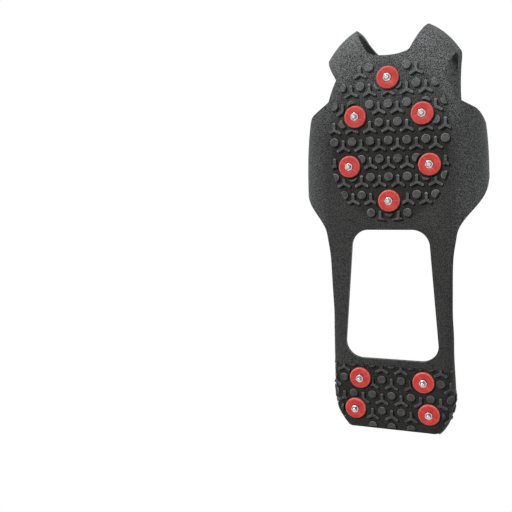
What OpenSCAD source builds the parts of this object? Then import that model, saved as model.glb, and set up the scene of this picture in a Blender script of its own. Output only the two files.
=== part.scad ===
// Pull-over ice cleat: a stretch rubber harness with steel-tipped studs.
// Millimetres. Sole down, +Z up, +Y to the toe, +X to the wearer's right.
// The stud tips stand on z = 0, and the part is drawn in the shape it takes on a boot.

/* [Sole] */
// Thickness of the rubber
rubber_t = 3.2; // [2.4:0.2:4]
// Depth of the rubber's outer face above the stud tips
sole_z = 6.2; // [5.4:0.1:7.5]
// Length of the forefoot from its widest section to the toe tip
toe_l = 114; // [105:1:124]
// Half width of the boot at the forefoot
ball_w = 60; // [57:0.5:63]
// Place of the forefoot's widest section
ball_y = 31.8; // [29:0.2:34]
// Radius of the rubber's bend round the forefoot edge
ball_bend = 15.5; // [12:0.5:17]
// Height of that bend
ball_bend_h = 17; // [13:0.5:20]
// Half width of the boot at the heel
heel_w = 40; // [38:0.5:43]
// Place of the heel's round end
heel_y = -98.2; // [-103:0.2:-95]
// Length of the heel's round end
heel_l = 46; // [43:1:50]
// Radius of the rubber's bend round the heel edge
heel_bend = 4.5; // [3.5:0.25:5]
// Height of that bend
heel_bend_h = 6; // [4:0.5:9]
// Place of the waist, where the side rails are closest
waist_y = -58; // [-64:1:-48]

/* [Window] */
// Front edge of the open window under the arch
window_front = 7; // [4:0.5:10]
// Rear edge of the window
window_rear = -85; // [-87:0.5:-82]
// Half width of the window at its front end
window_w_front = 27; // [24:0.5:31]
// Width of the flat rubber beside the window at its rear end
rail_flat = 3; // [2:0.5:6]
// Length over which the window's corners round
window_round = 12; // [8:0.5:15]

/* [Harness] */
// Height of the forefoot's crown above the seat
crown_h = 64.5; // [58:0.5:72]
// Front edge of the side wing, as an angle from the widest section
wing_end = 43; // [40:1:47]
// Where the wing's top edge starts to fall to the rail, as an angle
wing_from = 12; // [6:1:18]
// How far the wing's front edge sweeps forward where it meets the sole
wing_sweep = 14; // [6:1:16]
// How far that edge leans back as it climbs to the crown
wing_lean = 6; // [3:1:9]
// Half width of the opening over the toe, as an angle
toe_gap = 12; // [9:0.5:14]
// Width of a toe strap, as an angle
strap_span = 12.5; // [10:0.5:15]
// How far the toe strap's front edge sweeps inward where it meets the sole
toe_sweep = 3; // [0:0.5:5]
// How far the side openings climb the crown, as an angle
side_open = 44; // [32:1:50]
// How far the toe opening climbs the crown
toe_open = 44; // [32:1:50]
// Share of the crown's length left open behind the vamp band
vamp_rear = 0.49; // [0.42:0.01:0.6]
// Depth of the curved cut under the toe
toe_cut = 4.5; // [2:0.5:7]
// How far the rubber wraps the sole edge at the front of the rails
rail_wrap_front = 8; // [5:1:20]
// How far it wraps at the rear of the rails
rail_wrap_rear = 60; // [50:1:75]
// Rear edge of the heel pad, as an angle round the heel
heel_pad_end = 55; // [50:1:60]
// How far the rear edge of a heel wall leans forward as it leaves the sole, as an angle
heel_sweep = 7; // [4:1:10]
// Height of the heel strap's top above the bend
strap_top = 52; // [44:1:60]
// Height of the heel strap's lower edge above the bend
strap_low = 28; // [22:1:34]
// Height of the pull tab above the strap
tab_h = 11; // [6:1:16]
// Half width of the pull tab, as an angle round the heel
tab_half = 26; // [20:1:34]

/* [Studs] */
// Diameter of the red collar's outer flange
collar_d = 15; // [13:0.5:16.5]
// Thickness of that flange
collar_t = 2; // [1.6:0.1:2.6]
// Chamfer round the flange
collar_chamfer = 0.9; // [0.4:0.1:1.4]
// Diameter of the collar's neck in the rubber
neck_d = 8; // [7:0.25:9]
// Diameter of the collar's inner flange
anchor_d = 13; // [11.5:0.25:14]
// Thickness of the inner flange
anchor_t = 1.4; // [1:0.1:1.8]
// Width of the steel sleeve across its flats
sleeve_af = 5; // [4.7:0.1:5.8]
// Height that the sleeve stands proud of the collar
sleeve_proud = 1.6; // [1:0.1:2]
// Diameter of the sleeve's head
sleeve_head_d = 9; // [8:0.25:10]
// Thickness of the sleeve's head
sleeve_head_t = 0.7; // [0.5:0.1:0.9]
// Diameter of the recess in the sleeve's rim
rim_d = 4; // [3.7:0.1:4.3]
// Depth of that recess
rim_depth = 1.2; // [0.6:0.1:1.8]
// Diameter of the hard pin
pin_d = 3; // [2.7:0.1:3.3]
// Length of the hard pin
pin_l = 7.5; // [6.5:0.25:8]
// Length of the pin's tapered tip
pin_tip = 0.9; // [0.5:0.1:1.5]
// Diameter of the pin's end
pin_tip_d = 2.2; // [1.6:0.1:2.6]
// Clearance round pieces that fit into each other
fit = 0.05; // [0.03:0.01:0.1]

/* [Stud layout] */
// Front stud, ahead of the widest section
stud_front = 77.3; // [74:0.5:80]
// Half spacing of the front pair
pair_front_w = 22.6; // [20:0.2:25]
// Front pair, ahead of the widest section
pair_front = 52.6; // [49:0.2:56]
// Half spacing of the second pair
pair_mid_w = 27.2; // [25:0.2:30]
// Second pair, ahead of the widest section
pair_mid = 19; // [16:0.2:22]
// Last forefoot stud, ahead of the widest section
stud_rear = -4.8; // [-7:0.2:-2]
// Distance from a front heel stud's centre to the side of the heel
heel_front_inset = 17.7; // [15:0.2:20]
// Front heel pair, behind the heel's round end's start
heel_front = 1; // [-1:0.2:3]
// Distance from a rear heel stud's centre to the side of the heel
heel_rear_inset = 14; // [13.6:0.2:18]
// Rear heel pair, behind the heel's round end's start
heel_rear = 23.8; // [21:0.2:25]

/* [Tread] */
// Height of the tread lugs
lug_h = 1.8; // [1:0.1:2.2]
// Diameter of a round lug
dot_d = 5.75; // [4:0.25:6]
// Length of one arm of a three-armed lug
arm_l = 5.1; // [3.5:0.1:5.4]
// Width of that arm
arm_w = 1.9; // [1.2:0.1:2.2]
// Sideways pitch of the forefoot lugs
fore_pitch = 12.5; // [12:0.1:13.5]
// Lengthways pitch of the forefoot lugs
fore_row = 12.2; // [11.8:0.1:13]
// Centre row of the forefoot lugs, ahead of the widest section
fore_lugs = 36; // [34:0.5:38]
// Half width of the forefoot tread
tread_w = 42; // [38:0.5:46]
// Half length of the forefoot tread
tread_l = 55; // [50:0.5:58]
// Distance from a round forefoot lug to the three-armed lug in front of it
fore_step = 8.4; // [7.8:0.1:8.8]
// Sideways pitch of the heel lugs
heel_pitch = 13.6; // [13:0.1:14.5]
// Lengthways pitch of the heel lugs
heel_row = 11.4; // [11:0.1:12]
// Centre row of the heel lugs, behind the heel's round end's start
heel_lugs = 12.5; // [11:0.5:14]
// Distance from a round heel lug to the three-armed lug in front of it
heel_step = 7.6; // [7:0.1:8]
// Clear ring left round each stud
lug_clear = 1.6; // [0.8:0.1:2.4]
// Margin left between the lugs and the edge of the rubber
lug_margin = 0.8; // [0.4:0.1:2]

/* [Hidden] */
$fn = 64;
seat_z = sole_z + rubber_t;
collar_z = sole_z - collar_t;
sleeve_z = collar_z - sleeve_proud;
rail_front = window_front - window_round;
rail_rear = window_rear + window_round;
window_w_rear = heel_w - heel_bend - rail_flat;
strap_end = 90 - toe_gap;
strap_start = strap_end - strap_span;
heel_front_w = heel_w - heel_front_inset;
heel_rear_w = heel_w - heel_rear_inset;
// How square the ovals, openings and edges are: a power of 2 is a plain ellipse
dome_power = 2 / 2.6;
fore_power = 2.5;
heel_power = 3;
opening_power = 2.4;
strap_power = 3;
tread_power = 2.3;
// How fast the swept roots, the band's rear edge and the wing's top fall away
root_power = 2;
vamp_power = 1.3;
wing_power = 0.8;
// How soon the wing's top reaches the rail, as a share of the way there
wing_reach = 0.82;
// Climb over which the wing's front edge leans back
lean_from = 0.5;
lean_to = 1.2;
// Share of the half width that the band's rear edge keeps at its ends
vamp_side = 0.985;
// Climb where the band starts, and the heel wall's lean over one span of height
band_start = 1.1;
wall_lean = 0.16;
wall_span = 60;
// How far lugs sink into the pad, and how far cuts run past a face
lug_sink = 0.3;
over = 1;
// Cells in the grid of each patch
rows = 8;
line_cells = 8;
turn_cells = 3;
fan_cells = 9;
rim_cells = 10;
strap_cells = 5;
rail_cells = 14;
rail_rows = 6;
cup_cells = 9;
back_cells = 24;
edge_cells = 6;
dot_sides = 24;
black = [0.22, 0.23, 0.25];
red = [0.78, 0.23, 0.21];
steel = [0.78, 0.79, 0.8];
carbide = [0.6, 0.61, 0.63];

FORE_STUDS = [
    [0, ball_y + stud_front],
    [-pair_front_w, ball_y + pair_front],
    [pair_front_w, ball_y + pair_front],
    [-pair_mid_w, ball_y + pair_mid],
    [pair_mid_w, ball_y + pair_mid],
    [0, ball_y + stud_rear]
];
HEEL_STUDS = [
    [-heel_front_w, heel_y - heel_front],
    [heel_front_w, heel_y - heel_front],
    [-heel_rear_w, heel_y - heel_rear],
    [heel_rear_w, heel_y - heel_rear]
];

function mix(a, b, t) = a + (b - a) * t;
function smooth(t) = let (c = min(1, max(0, t))) c * c * (3 - 2 * c);
function arch(t, power) = pow(max(0, 1 - pow(abs(2 * t - 1), power)), 1 / power);
function spread(a, b, n) = [for (i = [0:n]) mix(a, b, i / n)];
function eased(a, b, n) = [for (i = [0:n]) mix(a, b, 0.5 - 0.5 * cos(180 * i / n))];
function tail(list) = [for (i = [1:len(list) - 1]) list[i]];
function turned(list) = [for (i = [len(list) - 1:-1:0]) list[i]];
function mirrored(points) = [for (p = turned(points)) [-p.x, p.y]];
function oval(angle, w, l, power) =
    pow(pow(abs(cos(angle)) / w, power) + pow(abs(sin(angle)) / l, power), -1 / power);

// The boot's form. Sections lie across the boot between the heel and the ball of the foot,
// and fan out round a centre at each end: stations below zero are distances, others angles.
function blend(y) = smooth((y - waist_y) / (ball_y - waist_y));
function side_w(y) = mix(heel_w, ball_w, blend(y));
function side_bend(y) = mix(heel_bend, ball_bend, blend(y));
function side_bend_h(y) = mix(heel_bend_h, ball_bend_h, blend(y));
function flat_w(y) = side_w(y) - side_bend(y);
// Straps and wings spread where they leave the sole, so their corners are filleted. The wing's
// front edge leans back above that, and the opening ahead of it widens with it.
function swept(u, climb) =
    let (a = u > 90 ? 180 - u : u, root = pow(max(0, 1 - climb), root_power))
    let (wing = a <= wing_end ? smooth((a - wing_end / 2) / (wing_end / 2)) : 0)
    let (toe = smooth((a - strap_start) / (strap_end - strap_start)))
    let (beside = a <= wing_end ? wing : max(0, (strap_start - a) / (strap_start - wing_end)))
    let (back = wing_lean * beside * smooth((climb - lean_from) / (lean_to - lean_from)))
    let (shift = root * (wing_sweep * wing + toe_sweep * toe) - back)
    u > 90 ? u - shift : u + shift;
// The heel walls lean forward as they climb, so the strap starts close to the pad's rear corner.
function leaned(u, climb) =
    let (a = u > 90 ? 180 - u : u, behind = (90 - a) / (90 - heel_pad_end))
    let (share = a < heel_pad_end ? smooth(a / heel_pad_end) : behind)
    let (lean = heel_sweep * share * (1 - pow(max(0, 1 - climb), root_power)))
    u > 90 ? u + lean : u - lean;
function fore_w(u) = u < 0 ? side_w(ball_y + u) : oval(u, ball_w, toe_l, fore_power);
function fore_bend(u) = u < 0 ? side_bend(ball_y + u) : ball_bend;
function fore_bend_h(u) = u < 0 ? side_bend_h(ball_y + u) : ball_bend_h;
function fore_place(u, r) = u < 0 ? [r, ball_y + u] : [r * cos(u), ball_y + r * sin(u)];
function heel_w_at(u) = u < 0 ? side_w(heel_y - u) : oval(u, heel_w, heel_l, heel_power);
function heel_place(u, r) = u < 0 ? [r, heel_y - u] : [r * cos(u), heel_y - r * sin(u)];

// Bend round the sole's edge: how far out and how high the rubber is at one angle.
function bend_r(flat, bend, angle, out) = flat + (bend + out) * sin(angle);
function bend_z(bend_h, angle, out) = seat_z - out + (bend_h + out) * (1 - cos(angle));

// A point on the forefoot: climb 0 to 1 goes round the edge, and 1 to 2 over the crown.
function fore_point(station, climb, out) =
    let (u = swept(station, climb))
    let (w = fore_w(u), bend = fore_bend(u), h = fore_bend_h(u), rise = 90 * (climb - 1))
    climb <= 1
    ? concat(fore_place(u, bend_r(w - bend, bend, 90 * climb, out)), bend_z(h, 90 * climb, out))
    : concat(fore_place(u, (w + out) * pow(cos(rise), dome_power)),
        seat_z + h + (crown_h - h + out) * pow(sin(rise), dome_power));

// A point on the heel: climb 0 to 1 goes round the edge, and above 1 up the wall.
function heel_point(station, climb, out) =
    let (u = leaned(station, climb))
    let (w = heel_w_at(u), bend = u < 0 ? side_bend(heel_y - u) : heel_bend)
    let (h = u < 0 ? side_bend_h(heel_y - u) : heel_bend_h, up = climb - 1)
    climb <= 1
    ? concat(heel_place(u, bend_r(w - bend, bend, 90 * climb, out)), bend_z(h, 90 * climb, out))
    : concat(heel_place(u, (w + out) * (1 - wall_lean * up * up)), seat_z + h + wall_span * up);

// Edges of the harness, as the climb at each station.
function band_low(u) =
    let (a = u > 90 ? 180 - u : u)
    let (side = (a - wing_end) / (strap_start - wing_end))
    let (toe = (a - strap_end) / (2 * (90 - strap_end)))
    band_start
    + (side > 0 && side < 1 ? (1 + side_open / 90 - band_start) * arch(side, opening_power) : 0)
    + (toe > 0 ? (1 + toe_open / 90 - band_start) * arch(toe, opening_power) : 0);
function band_rear(u) =
    let (a = u > 90 ? 180 - u : u)
    let (ahead = (sin(a) - sin(wing_from)) / (1 - sin(wing_from)))
    let (share = vamp_rear + (vamp_side - vamp_rear) * pow(max(0, 1 - ahead), vamp_power))
    1 + acos(pow(share, 1 / dome_power)) / 90;
function fore_run(u) = u < 0 ? u : u * PI / 180 * ball_w;
function wing_top(u) =
    let (start = fore_run(wing_from), way = (start - fore_run(u)) / (start + ball_y - rail_front))
    mix(band_start, rail_wrap_front / 90, pow(smooth(way / wing_reach), wing_power));
function rail_wrap(y) =
    mix(rail_wrap_rear, rail_wrap_front, smooth((y - rail_rear) / (rail_front - rail_rear)));
function heel_run(u) = u < 0 ? u : u * PI / 180 * heel_l;
function heel_top(u) =
    let (a = u > 90 ? 180 - u : u)
    let (start = heel_y - rail_rear, run = (heel_run(a) - start) / (heel_run(90) - start))
    let (tab = abs(90 - a) < tab_half ? tab_h * pow(cos(90 * (90 - a) / tab_half), 2) : 0)
    let (first = rail_wrap_rear / 90)
    mix(first, 1 + strap_top / wall_span, smooth(run)) + tab / wall_span;
function strap_bottom(u) =
    let (a = u > 90 ? 180 - u : u, t = (a - heel_pad_end) / (90 - heel_pad_end))
    (1 + strap_low / wall_span)
    * pow(max(0, 1 - pow(1 - max(0, t), strap_power)), 1 / strap_power);
function window_w(y) =
    mix(window_w_rear, window_w_front, (y - rail_rear) / (rail_front - rail_rear));

// Columns of each patch. Neighbours share columns, so their edges meet.
FAN = spread(wing_from, wing_end, fan_cells);
WING = concat(spread(rail_front - ball_y, 0, line_cells), tail(spread(0, wing_from, turn_cells)),
    tail(FAN));
GAP = eased(wing_end, strap_start, rim_cells);
STRAP = spread(strap_start, strap_end, strap_cells);
TOE = eased(strap_end, 180 - strap_end, rim_cells);
HALF = concat(FAN, tail(GAP), tail(STRAP));
BAND = concat(HALF, tail(TOE), tail([for (u = turned(HALF)) 180 - u]));
RAIL = spread(rail_front, rail_rear, rail_cells);
CUP = concat(spread(heel_y - rail_rear, 0, line_cells), tail(spread(0, heel_pad_end, cup_cells)));
BACK = eased(heel_pad_end, 180 - heel_pad_end, back_cells);

// A sheet of rubber between two grids of points, closed round its rim.
module sheet(outer, inner, flip = false) {
    n = len(outer) - 1;
    m = len(outer[0]) - 1;
    deep = (n + 1) * (m + 1);
    skin = [for (i = [0:n - 1], j = [0:m - 1])
        let (a = i * (m + 1) + j, b = a + m + 1)
        each [[a, a + 1, b + 1], [a, b + 1, b],
            [deep + a, deep + b + 1, deep + a + 1], [deep + a, deep + b, deep + b + 1]]];
    ends = [for (j = [0:m - 1], i = [0, n])
        let (a = i * (m + 1) + j, quad = [[a, deep + a + 1, a + 1], [a, deep + a, deep + a + 1]])
        each i == 0 ? quad : [for (f = quad) turned(f)]];
    sides = [for (i = [0:n - 1], j = [0, m])
        let (a = i * (m + 1) + j, b = a + m + 1)
        let (quad = [[a, b, deep + b], [a, deep + b, deep + a]])
        each j == 0 ? quad : [for (f = quad) turned(f)]];
    faces = concat(skin, ends, sides);
    polyhedron(points = concat([for (c = outer) each c], [for (c = inner) each c]),
        faces = flip ? [for (f = faces) turned(f)] : faces, convexity = 8);
}

function climbs(low, high) = [for (j = [0:rows]) mix(low, high, j / rows)];
function fore_grid(columns, low, high, out) =
    [for (u = columns) [for (c = climbs(low(u), high(u))) fore_point(u, c, out)]];
function heel_grid(columns, low, high, out) =
    [for (u = columns) [for (c = climbs(low(u), high(u))) heel_point(u, c, out)]];

module fore_sheet(columns, low, high) {
    sheet(fore_grid(columns, low, high, rubber_t), fore_grid(columns, low, high, 0));
}

module heel_sheet(columns, low, high) {
    sheet(heel_grid(columns, low, high, rubber_t), heel_grid(columns, low, high, 0), flip = true);
}

// Outline of the forefoot pad, whose edge is where the rubber starts to bend.
function fore_edge(u) = fore_place(u, fore_w(u) - fore_bend(u));
function fore_flat(station) = fore_edge(swept(station, 0));
function heel_flat(u) = heel_place(u, heel_w_at(u) - (u < 0 ? side_bend(heel_y - u) : heel_bend));
function quarter(p, q, n) =
    [for (i = [0:n]) let (a = 90 * i / n) [mix(q.x, p.x, cos(a)), mix(p.y, q.y, sin(a))]];
function toe_edge() =
    let (p = fore_flat(strap_end))
    [for (x = tail(spread(p.x, 0, edge_cells))) [x, p.y - toe_cut * sqrt(1 - pow(x / p.x, 2))]];
function fore_half() =
    concat(turned(quarter([window_w_front, rail_front],
            [window_w_front - window_round, window_front], line_cells)),
        [for (u = WING) fore_flat(u)],
        [for (u = tail(spread(swept(wing_end, 0), strap_start, edge_cells))) fore_edge(u)],
        [for (u = tail(STRAP)) fore_flat(u)], toe_edge());
function heel_half() =
    concat(turned(quarter([window_w_rear, rail_rear],
            [window_w_rear - window_round, window_rear], line_cells)),
        [for (u = CUP) heel_flat(u)]);

// Where a lug fits: inside the tread's oval and the pad by a margin, and not under a stud.
function in_tread(p, margin) =
    pow(abs(p.x) / (tread_w - margin), tread_power)
    + pow(abs(p.y - ball_y - fore_lugs) / (tread_l - margin), tread_power) < 1;
function in_fore(p, margin) =
    let (r = norm([p.x, p.y - ball_y]), a = atan2(p.y - ball_y, abs(p.x)))
    let (on_pad = p.y > ball_y
        ? r < fore_w(a) - ball_bend - margin && p.y < fore_flat(strap_end).y - toe_cut - margin
        : abs(p.x) < flat_w(p.y) - margin && p.y > window_front + margin)
    on_pad && in_tread(p, margin);
function in_heel(p, margin) =
    let (r = norm([p.x, p.y - heel_y]), a = atan2(heel_y - p.y, abs(p.x)))
    p.y > heel_y
    ? abs(p.x) < heel_w - heel_bend - margin && p.y < window_rear - margin
    : r < heel_w_at(a) - heel_bend - margin && p.y > heel_flat(heel_pad_end).y + margin;
function nearest(p, studs) = min([for (s = studs) norm(p - s)]);
function lattice(centre, pitch, row, reach) =
    let (n = ceil(reach / min(pitch, row)))
    [for (k = [-n:n], i = [-n:n]) [pitch * (i + (k % 2 == 0 ? 0 : 0.5)), centre + row * k]];

module lug_arms() {
    linear_extrude(height = lug_h + lug_sink)
        polygon([for (k = [0:2])
            let (a = 90 + 120 * k, c = cos(a), s = sin(a), h = arm_w / 2, inner = arm_w / sqrt(3))
            each [[arm_l * c + h * s, arm_l * s - h * c], [arm_l * c - h * s, arm_l * s + h * c],
                [inner * cos(a + 60), inner * sin(a + 60)]]]);
}

// One pad: a flat plate with its tread, drilled and recessed for the studs.
module pad(outline, studs, dots, arms) {
    clear_r = collar_d / 2 + lug_clear;
    difference() {
        union() {
            translate([0, 0, sole_z]) linear_extrude(height = rubber_t) polygon(outline);
            difference() {
                translate([0, 0, sole_z - lug_h]) union() {
                    for (p = dots) translate(p)
                        cylinder(d = dot_d, h = lug_h + lug_sink, $fn = dot_sides);
                    for (p = arms) translate(p) lug_arms();
                }
                for (s = studs)
                    translate([s.x, s.y, sole_z - 2 * lug_h]) cylinder(r = clear_r, h = 2 * lug_h);
            }
        }
        for (s = studs) translate([s.x, s.y, sole_z - over]) {
            cylinder(d = neck_d + 2 * fit, h = rubber_t + 2 * over);
            translate([0, 0, over + rubber_t - anchor_t])
                cylinder(d = anchor_d + 2 * fit, h = anchor_t + over);
        }
    }
}

module forefoot_pad() {
    half = fore_half();
    grid = lattice(ball_y + fore_lugs, fore_pitch, fore_row, ball_w);
    reach = collar_d / 2 + lug_clear;
    color(black) pad(concat(half, mirrored(half)), FORE_STUDS,
        [for (p = grid) if (in_fore(p, dot_d / 2 + lug_margin) && nearest(p, FORE_STUDS) > reach) p],
        [for (p = grid) let (q = p + [0, fore_step])
            if (in_fore(q, arm_l + lug_margin) && nearest(q, FORE_STUDS) > reach) q]);
}

module heel_pad() {
    half = heel_half();
    grid = lattice(heel_y - heel_lugs, heel_pitch, heel_row, heel_w);
    reach = collar_d / 2 + lug_clear;
    color(black) pad(concat(turned(half), turned(mirrored(half))), HEEL_STUDS,
        [for (p = grid) if (in_heel(p, dot_d / 2 + lug_margin) && nearest(p, HEEL_STUDS) > reach) p],
        [for (p = grid) let (q = p + [0, heel_step])
            if (in_heel(q, arm_l + lug_margin) && nearest(q, HEEL_STUDS) > reach) q]);
}

function rail_section(y, out) =
    concat([[window_w(y), y, seat_z - out]],
        [for (a = spread(0, rail_wrap(y), rail_rows))
            [bend_r(flat_w(y), side_bend(y), a, out), y, bend_z(side_bend_h(y), a, out)]]);

module side_rail() {
    color(black) sheet([for (y = RAIL) rail_section(y, rubber_t)],
        [for (y = RAIL) rail_section(y, 0)], flip = true);
}

module side_rail_left() { mirror([1, 0, 0]) side_rail(); }

module side_rail_right() { side_rail(); }

module wing() {
    color(black) fore_sheet(WING, function (u) 0, function (u) wing_top(u));
}

module wing_left() { mirror([1, 0, 0]) wing(); }

module wing_right() { wing(); }

module toe_strap() {
    color(black) fore_sheet(STRAP, function (u) 0, function (u) band_start);
}

module toe_strap_left() { mirror([1, 0, 0]) toe_strap(); }

module toe_strap_right() { toe_strap(); }

module vamp_band() {
    color(black) fore_sheet(BAND, function (u) band_low(u), function (u) band_rear(u));
}

module heel_wall() {
    color(black) heel_sheet(CUP, function (u) 0, function (u) heel_top(u));
}

module heel_wall_left() { mirror([1, 0, 0]) heel_wall(); }

module heel_wall_right() { heel_wall(); }

module heel_strap() {
    color(black) heel_sheet(BACK, function (u) strap_bottom(u), function (u) heel_top(u));
}

// The stud: a red collar gripping the rubber, a steel sleeve with a head, and a hard pin.
function hex_d(across_flats) = across_flats / cos(30);

module collar(p) {
    head_z = seat_z - sleeve_head_t;
    color(red) translate(p) difference() {
        union() {
            translate([0, 0, collar_z])
                cylinder(d1 = collar_d - 2 * collar_chamfer, d2 = collar_d, h = collar_chamfer);
            translate([0, 0, collar_z + collar_chamfer])
                cylinder(d = collar_d, h = collar_t - collar_chamfer);
            translate([0, 0, sole_z]) cylinder(d = neck_d, h = rubber_t - anchor_t);
            translate([0, 0, seat_z - anchor_t]) cylinder(d = anchor_d, h = anchor_t);
        }
        translate([0, 0, collar_z - over])
            cylinder(d = hex_d(sleeve_af + 2 * fit), h = rubber_t + collar_t + 2 * over, $fn = 6);
        translate([0, 0, head_z]) cylinder(d = sleeve_head_d + 2 * fit, h = sleeve_head_t + over);
    }
}

module sleeve(p) {
    head_z = seat_z - sleeve_head_t;
    color(steel) translate(p) difference() {
        union() {
            translate([0, 0, sleeve_z])
                cylinder(d = hex_d(sleeve_af), h = head_z - sleeve_z, $fn = 6);
            translate([0, 0, head_z]) cylinder(d = sleeve_head_d, h = sleeve_head_t);
        }
        translate([0, 0, sleeve_z - over]) cylinder(d = rim_d, h = rim_depth + over);
        cylinder(d = pin_d + 2 * fit, h = pin_l);
    }
}

module pin(p) {
    color(carbide) translate(p) union() {
        cylinder(d1 = pin_tip_d, d2 = pin_d, h = pin_tip);
        translate([0, 0, pin_tip]) cylinder(d = pin_d, h = pin_l - pin_tip);
    }
}

forefoot_pad();
heel_pad();
side_rail_left();
side_rail_right();
wing_left();
wing_right();
toe_strap_left();
toe_strap_right();
vamp_band();
heel_wall_left();
heel_wall_right();
heel_strap();
for (i = [1:len(FORE_STUDS)]) {
    collar(FORE_STUDS[i - 1]);
    sleeve(FORE_STUDS[i - 1]);
    pin(FORE_STUDS[i - 1]);
}
for (i = [1:len(HEEL_STUDS)]) {
    collar(HEEL_STUDS[i - 1]);
    sleeve(HEEL_STUDS[i - 1]);
    pin(HEEL_STUDS[i - 1]);
}
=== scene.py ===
# %% [markdown]
# # A pull-over ice cleat
#
# The part is a stretch-rubber harness that is worn on the foot, for walking on ice. Ten studs
# with red collars stand out of its sole, and rows of small rubber lugs lie between them. The
# solids that were packed before are the fixed frame here: they say where every piece is and how
# it moves. This script gives each of them the surface that the eye sees.

# %% Load the frame
import math

import bmesh
import bpy
from mathutils import Matrix, Vector


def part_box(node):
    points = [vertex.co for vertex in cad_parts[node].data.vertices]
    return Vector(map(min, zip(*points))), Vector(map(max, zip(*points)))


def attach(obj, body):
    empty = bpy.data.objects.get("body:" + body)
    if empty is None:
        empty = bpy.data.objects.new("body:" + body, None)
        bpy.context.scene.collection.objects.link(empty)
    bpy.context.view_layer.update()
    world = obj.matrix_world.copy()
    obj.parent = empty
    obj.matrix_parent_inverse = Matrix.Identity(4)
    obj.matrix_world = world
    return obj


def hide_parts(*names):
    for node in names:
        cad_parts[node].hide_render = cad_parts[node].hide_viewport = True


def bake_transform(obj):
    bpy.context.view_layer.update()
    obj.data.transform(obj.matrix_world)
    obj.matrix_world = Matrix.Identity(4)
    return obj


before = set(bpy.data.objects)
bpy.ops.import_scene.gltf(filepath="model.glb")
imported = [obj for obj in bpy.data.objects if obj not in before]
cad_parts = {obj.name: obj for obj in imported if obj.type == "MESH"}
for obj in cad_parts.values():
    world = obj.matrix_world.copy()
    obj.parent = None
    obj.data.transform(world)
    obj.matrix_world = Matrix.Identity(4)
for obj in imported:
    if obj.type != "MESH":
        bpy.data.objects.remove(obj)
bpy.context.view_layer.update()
MM = 0.001

# %% [markdown]
# ## Camera
#
# The photograph looks up at the sole, with the toe at the top. A camera can be turned by
# angles, but three angles are hard to read. Here it is placed by the way it looks and the way
# that is up in the picture, and the third axis follows from those two.

# %% Camera
CAMERA_PLACE = Vector((-101.6, 57.2, -477.1)) * MM
CAMERA_FORWARD = Vector((0.3816, -0.1323, 0.9148)).normalized()
CAMERA_UP = Vector((0.0162, 0.9905, 0.1365)).normalized()
LENS, NEAREST = 50, 0.01


def put(name, data):
    """A new object in the scene."""
    made = bpy.data.objects.new(name, data)
    bpy.context.scene.collection.objects.link(made)
    return made


def aim(obj, place, forward, up):
    across = forward.cross(up).normalized()
    turn = Matrix((across, across.cross(forward), -forward)).transposed()
    obj.matrix_world = Matrix.Translation(place) @ turn.to_4x4()


camera = put("camera", bpy.data.cameras.new("camera"))
camera.data.lens = LENS
camera.data.clip_start = NEAREST
aim(camera, CAMERA_PLACE, CAMERA_FORWARD, CAMERA_UP)
bpy.context.scene.camera = camera
bpy.context.scene.view_settings.view_transform = "Standard"
print("camera", [round(v, 4) for v in camera.location])

# %% [markdown]
# ## Small helpers for node trees
#
# Materials and Geometry Nodes are both trees of nodes. Making one in a script means adding a
# node, setting its sockets and joining them. One short function does all three: a value that is
# itself a socket becomes a link, a list of sockets becomes a link from each, and anything else
# becomes the socket's own value.

# %% Node helpers
FLOAT, VECTOR, INT = "NodeSocketFloat", "NodeSocketVector", "NodeSocketInt"
GEOMETRY, OBJECT, MATERIAL = "NodeSocketGeometry", "NodeSocketObject", "NodeSocketMaterial"


def add(tree, kind, inputs=None, **settings):
    made = tree.nodes.new(kind)
    for name, value in settings.items():
        setattr(made, name, value)
    for name, value in (inputs or {}).items():
        for one in value if isinstance(value, list) else [value]:
            if isinstance(one, bpy.types.NodeSocket):
                tree.links.new(one, made.inputs[name])
            else:
                made.inputs[name].default_value = one
    return made


def new_group(name, kind, inputs, outputs):
    """A node group with named sockets. Returns the tree, its inputs and its outputs."""
    tree = bpy.data.node_groups.new(name, kind)
    for title, socket_type, value in inputs:
        socket = tree.interface.new_socket(title, in_out="INPUT", socket_type=socket_type)
        if value is not None:
            socket.default_value = value
    for title, socket_type in outputs:
        tree.interface.new_socket(title, in_out="OUTPUT", socket_type=socket_type)
    given, result = tree.nodes.new("NodeGroupInput"), tree.nodes.new("NodeGroupOutput")
    return tree, given.outputs, result.inputs


def cleared(owner):
    """The node tree of a world or a material, emptied."""
    owner.use_nodes = True
    owner.node_tree.nodes.clear()
    return owner.node_tree


def new_material(name):
    made = bpy.data.materials.new(name)
    return made, cleared(made)


def math_node(tree, operation, *values, clamp=False):
    made = add(tree, "ShaderNodeMath", dict(enumerate(values)), operation=operation,
               use_clamp=clamp)
    return made.outputs[0]


print("helpers ready")

# %% [markdown]
# ## Stage and light
#
# The picture has a white ground, and the camera is under the floor. So the floor shows only its
# upper face: seen from below it lets the view through, and it keeps the shadow seen from above.
# Sun lamps light everything evenly, so one set stands above and one below. The world is white to
# the camera and in reflections, and a soft grey to everything else.

# %% World and floor
AMBIENT = 0.22
WHITE = (1, 1, 1, 1)
FLOOR_SIZE = 12.0
FLOOR_DROP = 0.2 * MM
FLOOR_TONE = (0.9, 0.9, 0.9, 1)


def build_world():
    world = bpy.data.worlds.new("studio")
    tree = cleared(world)
    path = add(tree, "ShaderNodeLightPath").outputs
    seen = math_node(tree, "MAXIMUM", path["Is Camera Ray"], path["Is Glossy Ray"])
    seen = math_node(tree, "MAXIMUM", seen, path["Is Transmission Ray"])
    level = math_node(tree, "MULTIPLY_ADD", seen, 1 - AMBIENT, AMBIENT)
    sky = add(tree, "ShaderNodeBackground", {"Color": WHITE, "Strength": level})
    add(tree, "ShaderNodeOutputWorld", {"Surface": sky.outputs[0]})
    bpy.context.scene.world = world


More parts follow.
